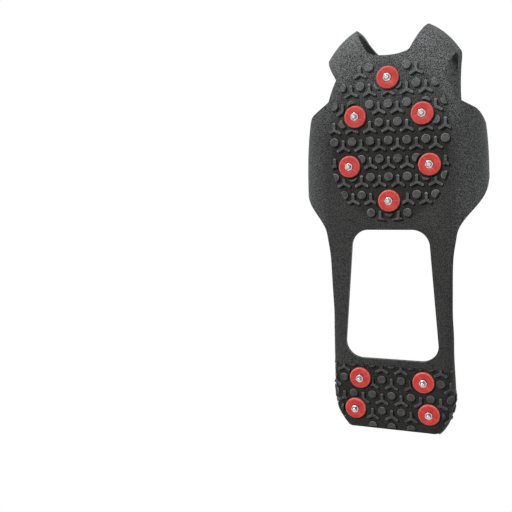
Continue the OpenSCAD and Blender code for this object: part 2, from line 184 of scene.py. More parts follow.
def build_floor():
    mesh = bpy.data.meshes.new("floor")
    half = FLOOR_SIZE / 2
    corners = [(-half, -half), (half, -half), (half, half), (-half, half)]
    mesh.from_pydata([(x, y, -FLOOR_DROP) for x, y in corners], [], [(0, 1, 2, 3)])
    paint, tree = new_material("pale_floor")
    matt = add(tree, "ShaderNodeBsdfDiffuse", {"Color": FLOOR_TONE})
    clear = add(tree, "ShaderNodeBsdfTransparent")
    under = add(tree, "ShaderNodeNewGeometry").outputs["Backfacing"]
    both = add(tree, "ShaderNodeMixShader", {0: under, 1: matt.outputs[0], 2: clear.outputs[0]})
    add(tree, "ShaderNodeOutputMaterial", {"Surface": both.outputs[0]})
    mesh.materials.append(paint)
    floor = put("floor", mesh)
    floor.visible_shadow = False
    floor.visible_diffuse = False
    floor.visible_glossy = False


build_world()
build_floor()
print("world and floor ready")

# %% Lamps
# Each lamp: the way towards it, its strength and how wide it looks, in degrees.
LAMPS = {
    "key_above": ((0.55, -0.6, 0.85), 2.0, 18),
    "fill_above": ((-0.8, -0.2, 0.7), 0.8, 40),
    "rim_above": ((0.1, 0.9, 0.6), 0.6, 30),
    "key_below": ((0.4, 0.62, -0.74), 3.45, 8),
    "fill_below": ((-0.85, 0.2, -0.45), 0.6, 40),
}
LAMP_UP = Vector((0, 1, 0.1))

for lamp_name, (toward, strength, spread) in LAMPS.items():
    lamp = bpy.data.lights.new(lamp_name, "SUN")
    lamp.energy = strength
    lamp.angle = math.radians(spread)
    sun = put(lamp_name, lamp)
    aim(sun, Vector(toward), -Vector(toward).normalized(), LAMP_UP)
print("lamps", len(LAMPS))

# %% [markdown]
# ## The harness's form
#
# The real harness is one rubber moulding, shown as it is when stretched for use. Its shape follows
# a rule, the same one that the solids follow: round the sole's edge the rubber follows a quarter
# of an oval, over the toe it follows a dome, and at the heel it climbs a wall that leans in. The
# rule is written here as formulas, in millimetres, so the skin can have many more points than the
# solids. A place on it is given by its station, the angle round the toe or heel or else the way
# along the side, and by its climb up from the flat of the sole.

# %% Sizes of the harness
seat_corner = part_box("forefoot_pad")[1]
collar_low, collar_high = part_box("forefoot_collar_1")
COLLAR_R = (collar_high.x - collar_low.x) / 2 / MM
SEAT_Z = seat_corner.z / MM
RUBBER_T = 3.2
SOLE_Z = SEAT_Z - RUBBER_T
TOE_L, BALL_W, BALL_Y = 114, 60, 31.8
BALL_BEND, BALL_BEND_H = 15.5, 17
HEEL_W, HEEL_Y, HEEL_L = 40, -98.2, 46
HEEL_BEND, HEEL_BEND_H = 4.5, 6
WAIST_Y = -58
WINDOW_FRONT, WINDOW_REAR = 7, -85
WINDOW_W_FRONT, WINDOW_W_REAR, WINDOW_ROUND = 27, 32.5, 12
RAIL_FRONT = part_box("side_rail_right")[1].y / MM
RAIL_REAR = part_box("side_rail_right")[0].y / MM
CROWN_H = 64.5
WING_FROM, WING_END, WING_SWEEP, WING_REACH, WING_POWER = 12, 43, 14, 0.82, 0.8
WING_LEAN, LEAN_FROM, LEAN_TO = 6, 0.5, 1.2
STRAP_START, STRAP_END, TOE_SWEEP = 65.5, 78, 3
SIDE_OPEN, TOE_OPEN, TOE_CUT, OPEN_POWER = 44, 44, 4.5, 2.4
VAMP_REAR, VAMP_SIDE, VAMP_POWER = 0.49, 0.985, 1.3
RAIL_WRAP_FRONT, RAIL_WRAP_REAR, FLAT_STEPS = 8, 60, 4
HEEL_PAD_END, HEEL_SWEEP, STRAP_POWER = 55, 7, 3
STRAP_TOP, STRAP_LOW = 52, 28
TAB_H, TAB_HALF = 11, 26
DOME_POWER, FORE_POWER, HEEL_POWER = 2 / 2.6, 2.5, 3
BAND_START, WALL_LEAN, WALL_SPAN = 1.1, 0.16, 60
print("seat", round(SEAT_Z, 2), "rails", round(RAIL_FRONT, 2), round(RAIL_REAR, 2))


# %% Formulas of the stretched form
def mix(a, b, t):
    return a + (b - a) * t


def smooth(t):
    t = min(1, max(0, t))
    return t * t * (3 - 2 * t)


def arch(t, power):
    return max(0, 1 - abs(2 * t - 1) ** power) ** (1 / power)


def sin(angle):
    return math.sin(math.radians(angle))


def cos(angle):
    return math.cos(math.radians(angle))


def oval(angle, w, l, power):
    return ((abs(cos(angle)) / w) ** power + (abs(sin(angle)) / l) ** power) ** (-1 / power)


def side(y):
    """Half width, bend and height of the bend along the sides."""
    t = smooth((y - WAIST_Y) / (BALL_Y - WAIST_Y))
    return mix(HEEL_W, BALL_W, t), mix(HEEL_BEND, BALL_BEND, t), mix(HEEL_BEND_H, BALL_BEND_H, t)


def folded(u):
    """The same station on the right side, for one on the left."""
    return 180 - u if u > 90 else u


def swept(u, climb):
    """Where a station of the forefoot lies at a climb: swept at its root, leaning back above."""
    a = folded(u)
    root = max(0, 1 - climb) ** 2
    wing = smooth((a - WING_END / 2) / (WING_END / 2)) if a <= WING_END else 0
    toe = smooth((a - STRAP_START) / (STRAP_END - STRAP_START))
    beside = wing if a <= WING_END else max(0, (STRAP_START - a) / (STRAP_START - WING_END))
    back = WING_LEAN * beside * smooth((climb - LEAN_FROM) / (LEAN_TO - LEAN_FROM))
    shift = root * (WING_SWEEP * wing + TOE_SWEEP * toe) - back
    return u - shift if u > 90 else u + shift


def leaned(u, climb):
    """Where a station of the heel lies at a climb: it leans more, the higher it is."""
    a = folded(u)
    behind = (90 - a) / (90 - HEEL_PAD_END)
    share = smooth(a / HEEL_PAD_END) if a < HEEL_PAD_END else behind
    lean = HEEL_SWEEP * share * (1 - max(0, 1 - climb) ** 2)
    return u + lean if u > 90 else u - lean


def fore_shape(u):
    if u < 0:
        return side(BALL_Y + u)
    return oval(u, BALL_W, TOE_L, FORE_POWER), BALL_BEND, BALL_BEND_H


def heel_shape(u):
    if u < 0:
        return side(HEEL_Y - u)
    return oval(u, HEEL_W, HEEL_L, HEEL_POWER), HEEL_BEND, HEEL_BEND_H


def fore_place(u, r, z):
    if u < 0:
        return Vector((r, BALL_Y + u, z))
    return Vector((r * cos(u), BALL_Y + r * sin(u), z))


def heel_place(u, r, z):
    if u < 0:
        return Vector((r, HEEL_Y - u, z))
    return Vector((r * cos(u), HEEL_Y - r * sin(u), z))


def fore_point(station, climb):
    """A point on the forefoot: climb 0 to 1 goes round the edge, and 1 to 2 over the crown."""
    u = swept(station, climb)
    w, bend, h = fore_shape(u)
    if climb <= 1:
        return fore_place(u, w - bend + bend * sin(90 * climb), SEAT_Z + h * (1 - cos(90 * climb)))
    rise = 90 * (climb - 1)
    z = SEAT_Z + h + (CROWN_H - h) * sin(rise) ** DOME_POWER
    return fore_place(u, w * max(0, cos(rise)) ** DOME_POWER, z)


def heel_point(station, climb):
    """A point on the heel: climb 0 to 1 goes round the edge, and above 1 up the wall."""
    u = leaned(station, climb)
    w, bend, h = heel_shape(u)
    if climb <= 1:
        return heel_place(u, w - bend + bend * sin(90 * climb), SEAT_Z + h * (1 - cos(90 * climb)))
    up = climb - 1
    return heel_place(u, w * (1 - WALL_LEAN * up * up), SEAT_Z + h + WALL_SPAN * up)


print("toe tip", [round(v, 1) for v in fore_point(90, 1)])


# %% Edges of the harness
def band_low(u):
    """The lower edge of the band over the foot, which arches over the three gaps below it."""
    a = folded(u)
    gap = (a - WING_END) / (STRAP_START - WING_END)
    toe = (a - STRAP_END) / (2 * (90 - STRAP_END))
    climb = BAND_START
    if 0 < gap < 1:
        climb += (1 + SIDE_OPEN / 90 - BAND_START) * arch(gap, OPEN_POWER)
    if toe > 0:
        climb += (1 + TOE_OPEN / 90 - BAND_START) * arch(toe, OPEN_POWER)
    return climb


def band_rear(u):
    ahead = (sin(folded(u)) - sin(WING_FROM)) / (1 - sin(WING_FROM))
    share = VAMP_REAR + (VAMP_SIDE - VAMP_REAR) * max(0, 1 - ahead) ** VAMP_POWER
    return 1 + math.degrees(math.acos(share ** (1 / DOME_POWER))) / 90


def fore_run(u):
    return u if u < 0 else math.radians(u) * BALL_W


def wing_top(u):
    start = fore_run(WING_FROM)
    way = (start - fore_run(u)) / (start + BALL_Y - RAIL_FRONT)
    return mix(BAND_START, RAIL_WRAP_FRONT / 90, smooth(way / WING_REACH) ** WING_POWER)


def heel_run(u):
    return u if u < 0 else math.radians(u) * HEEL_L


def heel_top(u):
    """The upper edge of the heel's wall and strap, with the pull tab at the middle."""
    a = folded(u)
    start = HEEL_Y - RAIL_REAR
    run = (heel_run(a) - start) / (heel_run(90) - start)
    tab = TAB_H * cos(90 * (90 - a) / TAB_HALF) ** 2 if abs(90 - a) < TAB_HALF else 0
    return mix(RAIL_WRAP_REAR / 90, 1 + STRAP_TOP / WALL_SPAN, smooth(run)) + tab / WALL_SPAN


def strap_bottom(u):
    t = max(0, (folded(u) - HEEL_PAD_END) / (90 - HEEL_PAD_END))
    return (1 + STRAP_LOW / WALL_SPAN) * max(0, 1 - (1 - t) ** STRAP_POWER) ** (1 / STRAP_POWER)


def rail_section(y, steps):
    """One cross section of a rail: along the flat from the window, then round the edge."""
    t = (y - RAIL_REAR) / (RAIL_FRONT - RAIL_REAR)
    w, bend, h = side(y)
    inner = mix(WINDOW_W_REAR, WINDOW_W_FRONT, t)
    wrap = mix(RAIL_WRAP_REAR, RAIL_WRAP_FRONT, smooth(t))
    flat = [Vector((mix(inner, w - bend, i / FLAT_STEPS), y, SEAT_Z)) for i in range(FLAT_STEPS)]
    angles = [wrap * j / steps for j in range(steps + 1)]
    return flat + [Vector((w - bend + bend * sin(a), y, SEAT_Z + h * (1 - cos(a))))
                   for a in angles]


print("rear edge of the band", round(fore_point(90, band_rear(90)).y, 1))

# %% [markdown]
# ## The rubber skin
#
# The skin starts as one thin sheet: strips of faces for the wings, straps, band, rails and heel,
# and two flat pads with a hole for each stud. The strips share their border points, so merging
# doubles makes one sheet. Solidify gives it the rubber's thickness and Bevel rounds the cut edges,
# as a moulding has them. Weld joins the few points that the bevel leaves on top of each other.
# The harness bends at the joint between the two pads. A material that reads the place of a point
# would slide when the skin bends, so each point keeps its place at rest as an attribute. A second
# attribute is 1 on the rounded lips, where rubber wears and where a painted sheen is laid.

# %% Stations along the harness
CLIMB_ROWS = 16
BAND_ROWS = 24


def span(a, b, n):
    return [mix(a, b, i / n) for i in range(n + 1)]


def eased(a, b, n):
    return [mix(a, b, 0.5 - 0.5 * cos(180 * i / n)) for i in range(n + 1)]


def round_turn(n):
    return [360 * i / n for i in range(n)]


FAN = span(WING_FROM, WING_END, 22)
WING = span(RAIL_FRONT - BALL_Y, 0, 18) + span(0, WING_FROM, 8)[1:] + FAN[1:]
GAP = eased(WING_END, STRAP_START, 22)
STRAP = span(STRAP_START, STRAP_END, 12)
TOE = eased(STRAP_END, 180 - STRAP_END, 24)
HALF_BAND = FAN + GAP[1:] + STRAP[1:]
BAND = HALF_BAND + TOE[1:] + [180 - u for u in reversed(HALF_BAND)][1:]
RAIL = span(RAIL_FRONT, RAIL_REAR, 36)
CUP = span(HEEL_Y - RAIL_REAR, 0, 14) + span(0, HEEL_PAD_END, 24)[1:]
BACK = eased(HEEL_PAD_END, 180 - HEEL_PAD_END, 56)


def columns(point, stations, low, high, rows):
    return [[point(u, mix(low(u), high(u), j / rows)) for j in range(rows + 1)] for u in stations]


def add_strip(bm, strip, both_sides):
    for sign in (1, -1) if both_sides else (1,):
        grid = [[bm.verts.new((sign * p.x, p.y, p.z)) for p in column] for column in strip]
        for here, there in zip(grid, grid[1:]):
            for j in range(len(here) - 1):
                bm.faces.new((here[j], here[j + 1], there[j + 1], there[j]))


print("stations of the band", len(BAND))


# %% Outlines of the pads
HOLE_R, HOLE_STEPS = COLLAR_R - 0.9, 40
CORNER_STEPS, GAP_STEPS, TOE_STEPS = 14, 8, 14
ON_AXIS = 1e-6


def flat_edge(point, stations):
    return [point(u, 0) for u in stations]


def window_corner(width, rail_end, window_end):
    """A rounded corner of the arch window on the seat, from its middle out to the rail."""
    inner = width - WINDOW_ROUND
    turn = [90 * i / CORNER_STEPS for i in range(CORNER_STEPS + 1)]
    return [Vector((mix(inner, width, cos(a)), mix(rail_end, window_end, sin(a)), SEAT_Z))
            for a in reversed(turn)]


def fore_outline():
    gap = span(swept(WING_END, 0), STRAP_START, GAP_STEPS)[1:-1]
    strap_corner = fore_point(STRAP_END, 0)
    toe = [strap_corner.x * (1 - i / TOE_STEPS) for i in range(1, TOE_STEPS + 1)]
    half = window_corner(WINDOW_W_FRONT, RAIL_FRONT, WINDOW_FRONT)
    half += rail_section(RAIL_FRONT, 1)[1:FLAT_STEPS]
    half += flat_edge(fore_point, WING)
    half += [fore_place(u, fore_shape(u)[0] - BALL_BEND, SEAT_Z) for u in gap]
    half += flat_edge(fore_point, STRAP)
    half += [Vector((x, strap_corner.y - TOE_CUT * math.sqrt(1 - (x / strap_corner.x) ** 2),
                     SEAT_Z)) for x in toe]
    return half


def heel_outline():
    half = window_corner(WINDOW_W_REAR, RAIL_REAR, WINDOW_REAR)
    return half + rail_section(RAIL_REAR, 1)[1:FLAT_STEPS] + flat_edge(heel_point, CUP)


def add_loop(bm, points):
    ring = [bm.verts.new(p) for p in points]
    return [bm.edges.new(pair) for pair in zip(ring, ring[1:] + ring[:1])]


def add_pad(bm, half, studs):
    whole = half + [Vector((-p.x, p.y, p.z)) for p in reversed(half) if abs(p.x) > ON_AXIS]
    edges = add_loop(bm, whole)
    for stud in studs:
        edges += add_loop(bm, [stud + Vector((HOLE_R * cos(a), HOLE_R * sin(a), 0))
                               for a in round_turn(HOLE_STEPS)])
    bmesh.ops.triangle_fill(bm, edges=edges, use_beauty=True)


def stud_places(body, count):
    boxes = [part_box(f"{body}_collar_{i + 1}") for i in range(count)]
    return [Vector(((a.x + b.x) / 2 / MM, (a.y + b.y) / 2 / MM, SEAT_Z)) for a, b in boxes]


STUDS = {"forefoot": stud_places("forefoot", 6), "heel": stud_places("heel", 4)}
print("studs", {body: len(places) for body, places in STUDS.items()})


# %% Sheet of the harness
SHEET_MERGE = 0.01 * MM


def mesh_from(bm, name, merge):
    """A mesh in metres from millimetres: near points merged, and the lowest face looks down."""
    bmesh.ops.scale(bm, vec=(MM, MM, MM), verts=bm.verts)
    bmesh.ops.remove_doubles(bm, verts=bm.verts, dist=merge)
    bmesh.ops.recalc_face_normals(bm, faces=bm.faces)
    lowest = min(bm.faces, key=lambda f: f.calc_center_median().z)
    if lowest.normal.z > 0:
        bmesh.ops.reverse_faces(bm, faces=bm.faces)
    mesh = bpy.data.meshes.new(name)
    bm.to_mesh(mesh)
    bm.free()
    return mesh


def harness_sheet():
    bm = bmesh.new()
    zero = lambda u: 0
    add_strip(bm, columns(fore_point, WING, zero, wing_top, CLIMB_ROWS), True)
    add_strip(bm, columns(fore_point, STRAP, zero, lambda u: BAND_START, CLIMB_ROWS), True)
    add_strip(bm, columns(fore_point, BAND, band_low, band_rear, BAND_ROWS), False)
    add_strip(bm, [rail_section(y, CLIMB_ROWS) for y in RAIL], True)
    add_strip(bm, columns(heel_point, CUP, zero, heel_top, CLIMB_ROWS), True)
    add_strip(bm, columns(heel_point, BACK, strap_bottom, heel_top, CLIMB_ROWS), False)
    add_pad(bm, fore_outline(), STUDS["forefoot"])
    add_pad(bm, heel_outline(), STUDS["heel"])
    return mesh_from(bm, "harness_skin", SHEET_MERGE)


sheet = harness_sheet()
print("sheet faces", len(sheet.polygons))

# %% Thickness and lips
LIP_W, LIP_STEPS, LIP_ANGLE = 0.8, 3, 50
LIP_WELD = 0.002
SHELL_SLOT, LIP_SLOT = 0, 1


def finish_mesh(obj):
    """Turns an object's live modifiers into its mesh."""
    graph = bpy.context.evaluated_depsgraph_get()
    mesh = bpy.data.meshes.new_from_object(obj.evaluated_get(graph), depsgraph=graph)
    obj.modifiers.clear()
    obj.data = mesh
    return obj


def keep_places(mesh, name):
    """Keeps each point's present place as an attribute."""
    kept = mesh.attributes.new(name, "FLOAT_VECTOR", "POINT")
    kept.data.foreach_set("vector", [c for v in mesh.vertices for c in v.co])


def keep_lips(mesh):
    """Marks the points that only faces of the second slot touch, and empties that slot."""
    shell = {v for f in mesh.polygons if f.material_index == SHELL_SLOT for v in f.vertices}
    lip = mesh.attributes.new("lip", "FLOAT", "POINT")
    lip.data.foreach_set("value", [float(i not in shell) for i in range(len(mesh.vertices))])
    mesh.polygons.foreach_set("material_index", [SHELL_SLOT] * len(mesh.polygons))
    print("points on lips", len(mesh.vertices) - len(shell))


def build_skin():
    skin = put("harness_skin", sheet)
    skin.data.shade_smooth()
    for _ in (SHELL_SLOT, LIP_SLOT):
        skin.data.materials.append(None)
    wall = skin.modifiers.new("thickness", "SOLIDIFY")
    wall.thickness = RUBBER_T * MM
    wall.offset = 1
    wall.use_quality_normals = True
    wall.material_offset_rim = LIP_SLOT
    lip = skin.modifiers.new("rounded_edges", "BEVEL")
    lip.width = LIP_W * MM
    lip.segments = LIP_STEPS
    lip.limit_method = "ANGLE"
    lip.angle_limit = math.radians(LIP_ANGLE)
    lip.material = LIP_SLOT
    weld = skin.modifiers.new("joined_points", "WELD")
    weld.merge_threshold = LIP_WELD * MM
    skin.modifiers.new("even_shading", "WEIGHTED_NORMAL")
    finish_mesh(skin)
    keep_places(skin.data, "rest_place")
    keep_lips(skin.data)
    return skin


skin = build_skin()
print("skin faces", len(skin.data.polygons))

# %% [markdown]
# ## Shared surface effects
#
# Two effects show on more than one material: a fine pebble grain, and wear where an edge stands
# proud. On the rubber and the red collars that mask also lays a painted highlight on edges that
# catch the light. Each is a node group with named sockets, built once and given its own values in
# each material. A group puts out only masks and heights. The shader itself stays in the material.

# %% Grain and wear groups
PEBBLE_TOP, FINER, FINE_SHARE, GRAIN_SHARE = 0.9, 1.7, 0.8, 0.6
# A ramp, here and below: where it starts and ends, then its values there if not 0 and 1.
BROKEN = (0.35, 0.6, 0.25, 1.0)


def ramp(tree, value, start, end, first=0.0, last=1.0):
    made = add(tree, "ShaderNodeMapRange", {0: value, 1: start, 2: end, 3: first, 4: last})
    return made.outputs[0]


def build_grain():
    """Pebbles of one size with finer noise on them, and broad patches of tone."""
    tree, given, result = new_group(
        "pebble_grain", "ShaderNodeTree",
        [("Vector", VECTOR, None), ("Pebbles per metre", FLOAT, 900.0),
         ("Patches per metre", FLOAT, 30.0)],
        [("Height", FLOAT), ("Patch", FLOAT)])
    pebble = add(tree, "ShaderNodeTexVoronoi",
                 {"Vector": given["Vector"], "Scale": given["Pebbles per metre"],
                  "Smoothness": 0.6}, feature="SMOOTH_F1")
    fine_scale = math_node(tree, "MULTIPLY", given["Pebbles per metre"], FINER)
    fine = add(tree, "ShaderNodeTexNoise",
               {"Vector": given["Vector"], "Scale": fine_scale, "Detail": 3.0, "Roughness": 0.6})
    round_top = math_node(tree, "SUBTRACT", PEBBLE_TOP, pebble.outputs["Distance"])
    height = math_node(tree, "MULTIPLY_ADD", fine.outputs[0], FINE_SHARE, round_top)
    height = math_node(tree, "MULTIPLY", height, GRAIN_SHARE, clamp=True)
    tree.links.new(height, result["Height"])
    broad = add(tree, "ShaderNodeTexNoise",
                {"Vector": given["Vector"], "Scale": given["Patches per metre"], "Detail": 4.0})
    tree.links.new(broad.outputs[0], result["Patch"])
    return tree


def build_wear_and_highlight():
    """A mask on whatever stands proud, broken up by noise: wear, and on rubber and red a painted
    highlight.
    """
    tree, given, result = new_group(
        "edge_wear_and_highlight", "ShaderNodeTree",
        [("Vector", VECTOR, None), ("Proud", FLOAT, 0.0), ("Noise per metre", FLOAT, 400.0)],
        [("Mask", FLOAT)])
    noise = add(tree, "ShaderNodeTexNoise",
                {"Vector": given["Vector"], "Scale": given["Noise per metre"], "Detail": 2.0})
    broken = ramp(tree, noise.outputs[0], *BROKEN)
    mask = math_node(tree, "MULTIPLY", given["Proud"], broken, clamp=True)
    tree.links.new(mask, result["Mask"])
    return tree


GRAIN = build_grain()
# One mask for wear, which also lays painted highlights on the rubber and the red.
WEAR_AND_HIGHLIGHT = build_wear_and_highlight()
print("groups", GRAIN.name, WEAR_AND_HIGHLIGHT.name)

# %% [markdown]
# ## Rubber
#
# The rubber is a dark grey with a leathery grain. Between the lugs the mould was left rough, and
# the ground there is darker, partly for that and partly as painted shade between the lugs. That
# zone has a shape of its own, an oval with a front and a rear half, so a third group works it out
# from the place on the sole. Towards the toe and the sides the rubber is painted paler: that is
# painted light.

# %% Tread zone group
ZONE_EDGE = (0.86, 1.04, 1.0, 0.0)


def build_zone():
    """A mask that is 1 inside an oval on the sole, with its own front and rear length."""
    tree, given, result = new_group(
        "tread_zone", "ShaderNodeTree",
        [("Vector", VECTOR, None), ("Middle", FLOAT, 0.0), ("Half width", FLOAT, 0.04),
         ("Front", FLOAT, 0.08), ("Rear", FLOAT, 0.02), ("Power", FLOAT, 3.0)],
        [("Mask", FLOAT)])
    place = add(tree, "ShaderNodeSeparateXYZ", {0: given["Vector"]}).outputs
    along = math_node(tree, "SUBTRACT", place[1], given["Middle"])
    ahead = math_node(tree, "GREATER_THAN", along, 0.0)
    reach = add(tree, "ShaderNodeMix", {0: ahead, 2: given["Rear"], 3: given["Front"]}).outputs[0]
    share = [math_node(tree, "ABSOLUTE", math_node(tree, "DIVIDE", a, b))
             for a, b in ((place[0], given["Half width"]), (along, reach))]
    powers = [math_node(tree, "POWER", s, given["Power"]) for s in share]
    edge = math_node(tree, "ADD", *powers)
    tree.links.new(ramp(tree, edge, *ZONE_EDGE), result["Mask"])
    return tree


ZONE = build_zone()
print("group", ZONE.name)


# %% Sizes of the tread
LUG_H, LUG_SINK, LUG_EDGE = 1.8, 1.0, 0.4
DOT_D, ARM_L, ARM_W = 5.75, 5.1, 1.9
FORE_PITCH, FORE_ROW, FORE_STEP, FORE_LUGS = 12.5, 12.2, 8.4, BALL_Y + 36
HEEL_PITCH, HEEL_ROW, HEEL_STEP, HEEL_LUGS = 13.6, 11.4, 7.6, HEEL_Y - 12.5
TREAD_W, TREAD_L, TREAD_POWER = 41, 54, 2.3
HEEL_TREAD = (heel_point(HEEL_PAD_END, 0).y + 0.4, WINDOW_REAR - 4.4)
print("heel tread from", round(HEEL_TREAD[0], 1), "to", round(HEEL_TREAD[1], 1))


# %% Ground of the tread
HEEL_GROUND_W, HEEL_GROUND_POWER, HEEL_GROUND_REAR = 0.047, 6.0, 2 * MM
FLAT_FADE = ((SOLE_Z + 1.2) * MM, (SOLE_Z + 2.2) * MM, 1, 0)
WALL_FADE = ((SOLE_Z + 8) * MM, (SOLE_Z + 13) * MM, 1, 0)
TOE_FADE = ((FORE_LUGS + 8) * MM, (FORE_LUGS + 48) * MM, 1, 0.4)
LUG_FADE = (0.6, 0.92, 1, 0)


def use_group(tree, group, inputs):
    return add(tree, "ShaderNodeGroup", inputs, node_tree=group).outputs


def tread_ground(tree, place, spot, lift):
    """A mask that is 1 on the sunken ground between the lugs of both pads: rough mould and painted
    shade.
    """
    middle, half = sum(HEEL_TREAD) / 2 * MM, (HEEL_TREAD[1] - HEEL_TREAD[0]) / 2 * MM
    fore = use_group(tree, ZONE, {"Vector": place, "Middle": FORE_LUGS * MM, "Power": TREAD_POWER,
                                  "Half width": TREAD_W * MM, "Front": TREAD_L * MM,
                                  "Rear": TREAD_L * MM})["Mask"]
    heel = use_group(tree, ZONE, {"Vector": place, "Middle": middle, "Power": HEEL_GROUND_POWER,
                                  "Half width": HEEL_GROUND_W, "Front": half,
                                  "Rear": half + HEEL_GROUND_REAR})["Mask"]
    fore = math_node(tree, "MULTIPLY", fore, ramp(tree, spot[2], *FLAT_FADE))
    fore = math_node(tree, "MULTIPLY", fore, ramp(tree, spot[1], *TOE_FADE))
    heel = math_node(tree, "MULTIPLY", heel, ramp(tree, spot[2], *WALL_FADE))
    both = math_node(tree, "MAXIMUM", fore, heel)
    return math_node(tree, "MULTIPLY", both, ramp(tree, lift, *LUG_FADE))


print("half width of the heel's ground", HEEL_GROUND_W)


# %% Rubber material
RUBBER_DARK = (0.011, 0.0108, 0.0105, 1)
RUBBER_LIGHT = (0.069, 0.0695, 0.0682, 1)
# Painted light: the rubber is painted paler towards the toe and the sides, with these tones.
PAINTED_LIT_DARK = (0.026, 0.0275, 0.0275, 1)
PAINTED_LIT_LIGHT = (0.3, 0.316, 0.317, 1)
# Darkens the ground between the lugs: partly its rough mould, partly painted shade.
ROUGH_GROUND_AND_SHADE = (0.47, 0.45, 0.43, 1)
# Pale rubber for wear, also used as a painted highlight on lug edges and a painted sheen on lips.
WORN_AND_LIT_RUBBER = (0.28, 0.284, 0.281, 1)
LUG_LIFT = ((SOLE_Z + LUG_SINK) * MM, (SOLE_Z - LUG_H) * MM)
LUG_TOP, LUG_RIM, LUG_RIM_END = (0.93, 1.0, 0.0, 0.2), (0.85, 0.88), (0.98, 1.0, 0.9, 0)
# Wear and painted highlight are weaker at the heel; the lips get wear and a painted sheen.
HEEL_LESS_WEAR_AND_LIGHT = (HEEL_Y * MM, BALL_Y * MM, 0.5, 1)
LIP_WEAR_AND_SHEEN = 0.25
GRAIN_TONE, PATCH_TONE = (0.43, 0.67), (0.35, 0.65, 0.8, 1.15)
GRAIN_ROUGHNESS = (0.2, 0.9, 0.75, 0.55)
# Where the painted light lies: towards the toe, and out to the sides.
PAINTED_LIGHT_TOE = ((BALL_Y + 34) * MM, (BALL_Y + 104) * MM)
PAINTED_LIGHT_SIDE = (42 * MM, 60 * MM, 0, 0.56)


def blend_colour(tree, share, a, b, way="MIX"):
    made = add(tree, "ShaderNodeMix", {0: share, 6: a, 7: b}, data_type="RGBA", blend_type=way)
    return made.outputs[2]


def attribute(tree, name, output="Fac"):
    return add(tree, "ShaderNodeAttribute", attribute_name=name).outputs[output]


def close_material(tree, bump, finish):
    """Ends a material with a bump, the shader and the output."""
    relief = add(tree, "ShaderNodeBump", bump)
    shader = add(tree, "ShaderNodeBsdfPrincipled", {**finish, "Normal": relief.outputs[0]})
    add(tree, "ShaderNodeOutputMaterial", {"Surface": shader.outputs[0]})


def rubber_wear_and_highlight(tree, place, spot, lift):
    """Wear and a painted highlight on lug tops and rims, less at the heel; wear and painted sheen
    on lips.
    """
    rim = math_node(tree, "MULTIPLY", ramp(tree, lift, *LUG_RIM), ramp(tree, lift, *LUG_RIM_END))
    proud = math_node(tree, "MAXIMUM", ramp(tree, lift, *LUG_TOP), rim)
    proud = math_node(tree, "MULTIPLY", proud, ramp(tree, spot[1], *HEEL_LESS_WEAR_AND_LIGHT))
    proud = math_node(tree, "MULTIPLY_ADD", attribute(tree, "lip"), LIP_WEAR_AND_SHEEN, proud)
    return use_group(tree, WEAR_AND_HIGHLIGHT, {"Vector": place, "Proud": proud,
                                  "Noise per metre": 350.0})["Mask"]


def build_rubber():
    made, tree = new_material("harness_rubber")
    place = attribute(tree, "rest_place", "Vector")
    spot = add(tree, "ShaderNodeSeparateXYZ", {0: place}).outputs
    below = ramp(tree, spot[2], *LUG_LIFT)
    lift = math_node(tree, "MAXIMUM", below, attribute(tree, "rise"))
    grain = use_group(tree, GRAIN, {"Vector": place, "Pebbles per metre": 1900.0})
    wear_and_highlight = rubber_wear_and_highlight(tree, place, spot, lift)
    ground = tread_ground(tree, place, spot, lift)
    tone = math_node(tree, "MULTIPLY", ramp(tree, grain["Height"], *GRAIN_TONE),
                     ramp(tree, grain["Patch"], *PATCH_TONE), clamp=True)
    aside = math_node(tree, "ABSOLUTE", spot[0])
    # Painted light: paler towards the toe and the sides.
    painted_light = math_node(tree, "MAXIMUM", ramp(tree, spot[1], *PAINTED_LIGHT_TOE),
                     ramp(tree, aside, *PAINTED_LIGHT_SIDE))
    dark = blend_colour(tree, painted_light, RUBBER_DARK, PAINTED_LIT_DARK)
    light = blend_colour(tree, painted_light, RUBBER_LIGHT, PAINTED_LIT_LIGHT)
    colour = blend_colour(tree, tone, dark, light)
    # The ground between the lugs: darker for its rough mould and as painted shade.
    colour = blend_colour(tree, ground, colour, ROUGH_GROUND_AND_SHADE, "MULTIPLY")
    # Wear, with a painted highlight on the lugs and a painted sheen on the lips.
    colour = blend_colour(tree, wear_and_highlight, colour, WORN_AND_LIT_RUBBER)
    close_material(tree, {"Strength": 0.9, "Distance": 0.45 * MM, "Height": grain["Height"]},
                   {"Base Color": colour, "Specular IOR Level": 0.16,
                    "Roughness": ramp(tree, grain["Height"], *GRAIN_ROUGHNESS)})
    return made


RUBBER = build_rubber()
skin.data.materials.clear()
skin.data.materials.append(RUBBER)
RUBBER_NODES = ["forefoot_pad", "heel_pad", "vamp_band", "heel_strap"]
RUBBER_NODES += [f"{part}_{hand}" for part in ("side_rail", "wing", "toe_strap", "heel_wall")
                 for hand in ("left", "right")]
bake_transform(skin)
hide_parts(*RUBBER_NODES)
print("skin stands for", len(RUBBER_NODES), "solids")

# %% [markdown]
# ## Tread lugs
#
# Between the studs the sole carries rows of round lugs, each with a three-armed lug in front of
# it. They repeat on a grid, so Geometry Nodes make them: points say where and which kind, and the
# tree builds one round and one three-armed lug from named sizes and sets a copy on each point. A
# circle of fifteen points becomes the three-armed shape when each is moved to its own corner.
# The tread's edge and a round clearing at each stud cut through some lugs. So a slab with the
# tread's outline gets a drum cut out of it at each stud, and the lugs keep only what lies inside
# that slab. The slab is cut first because it is simple: the lugs, which have many faces, are then
# cut only once, and come out the same each time.

# %% Lug shapes
ARMS, ARM_CORNERS, BLUNT = 3, 5, 0.35
TOP_SCALE = 0.87
LUG_MERGE = 1e-6


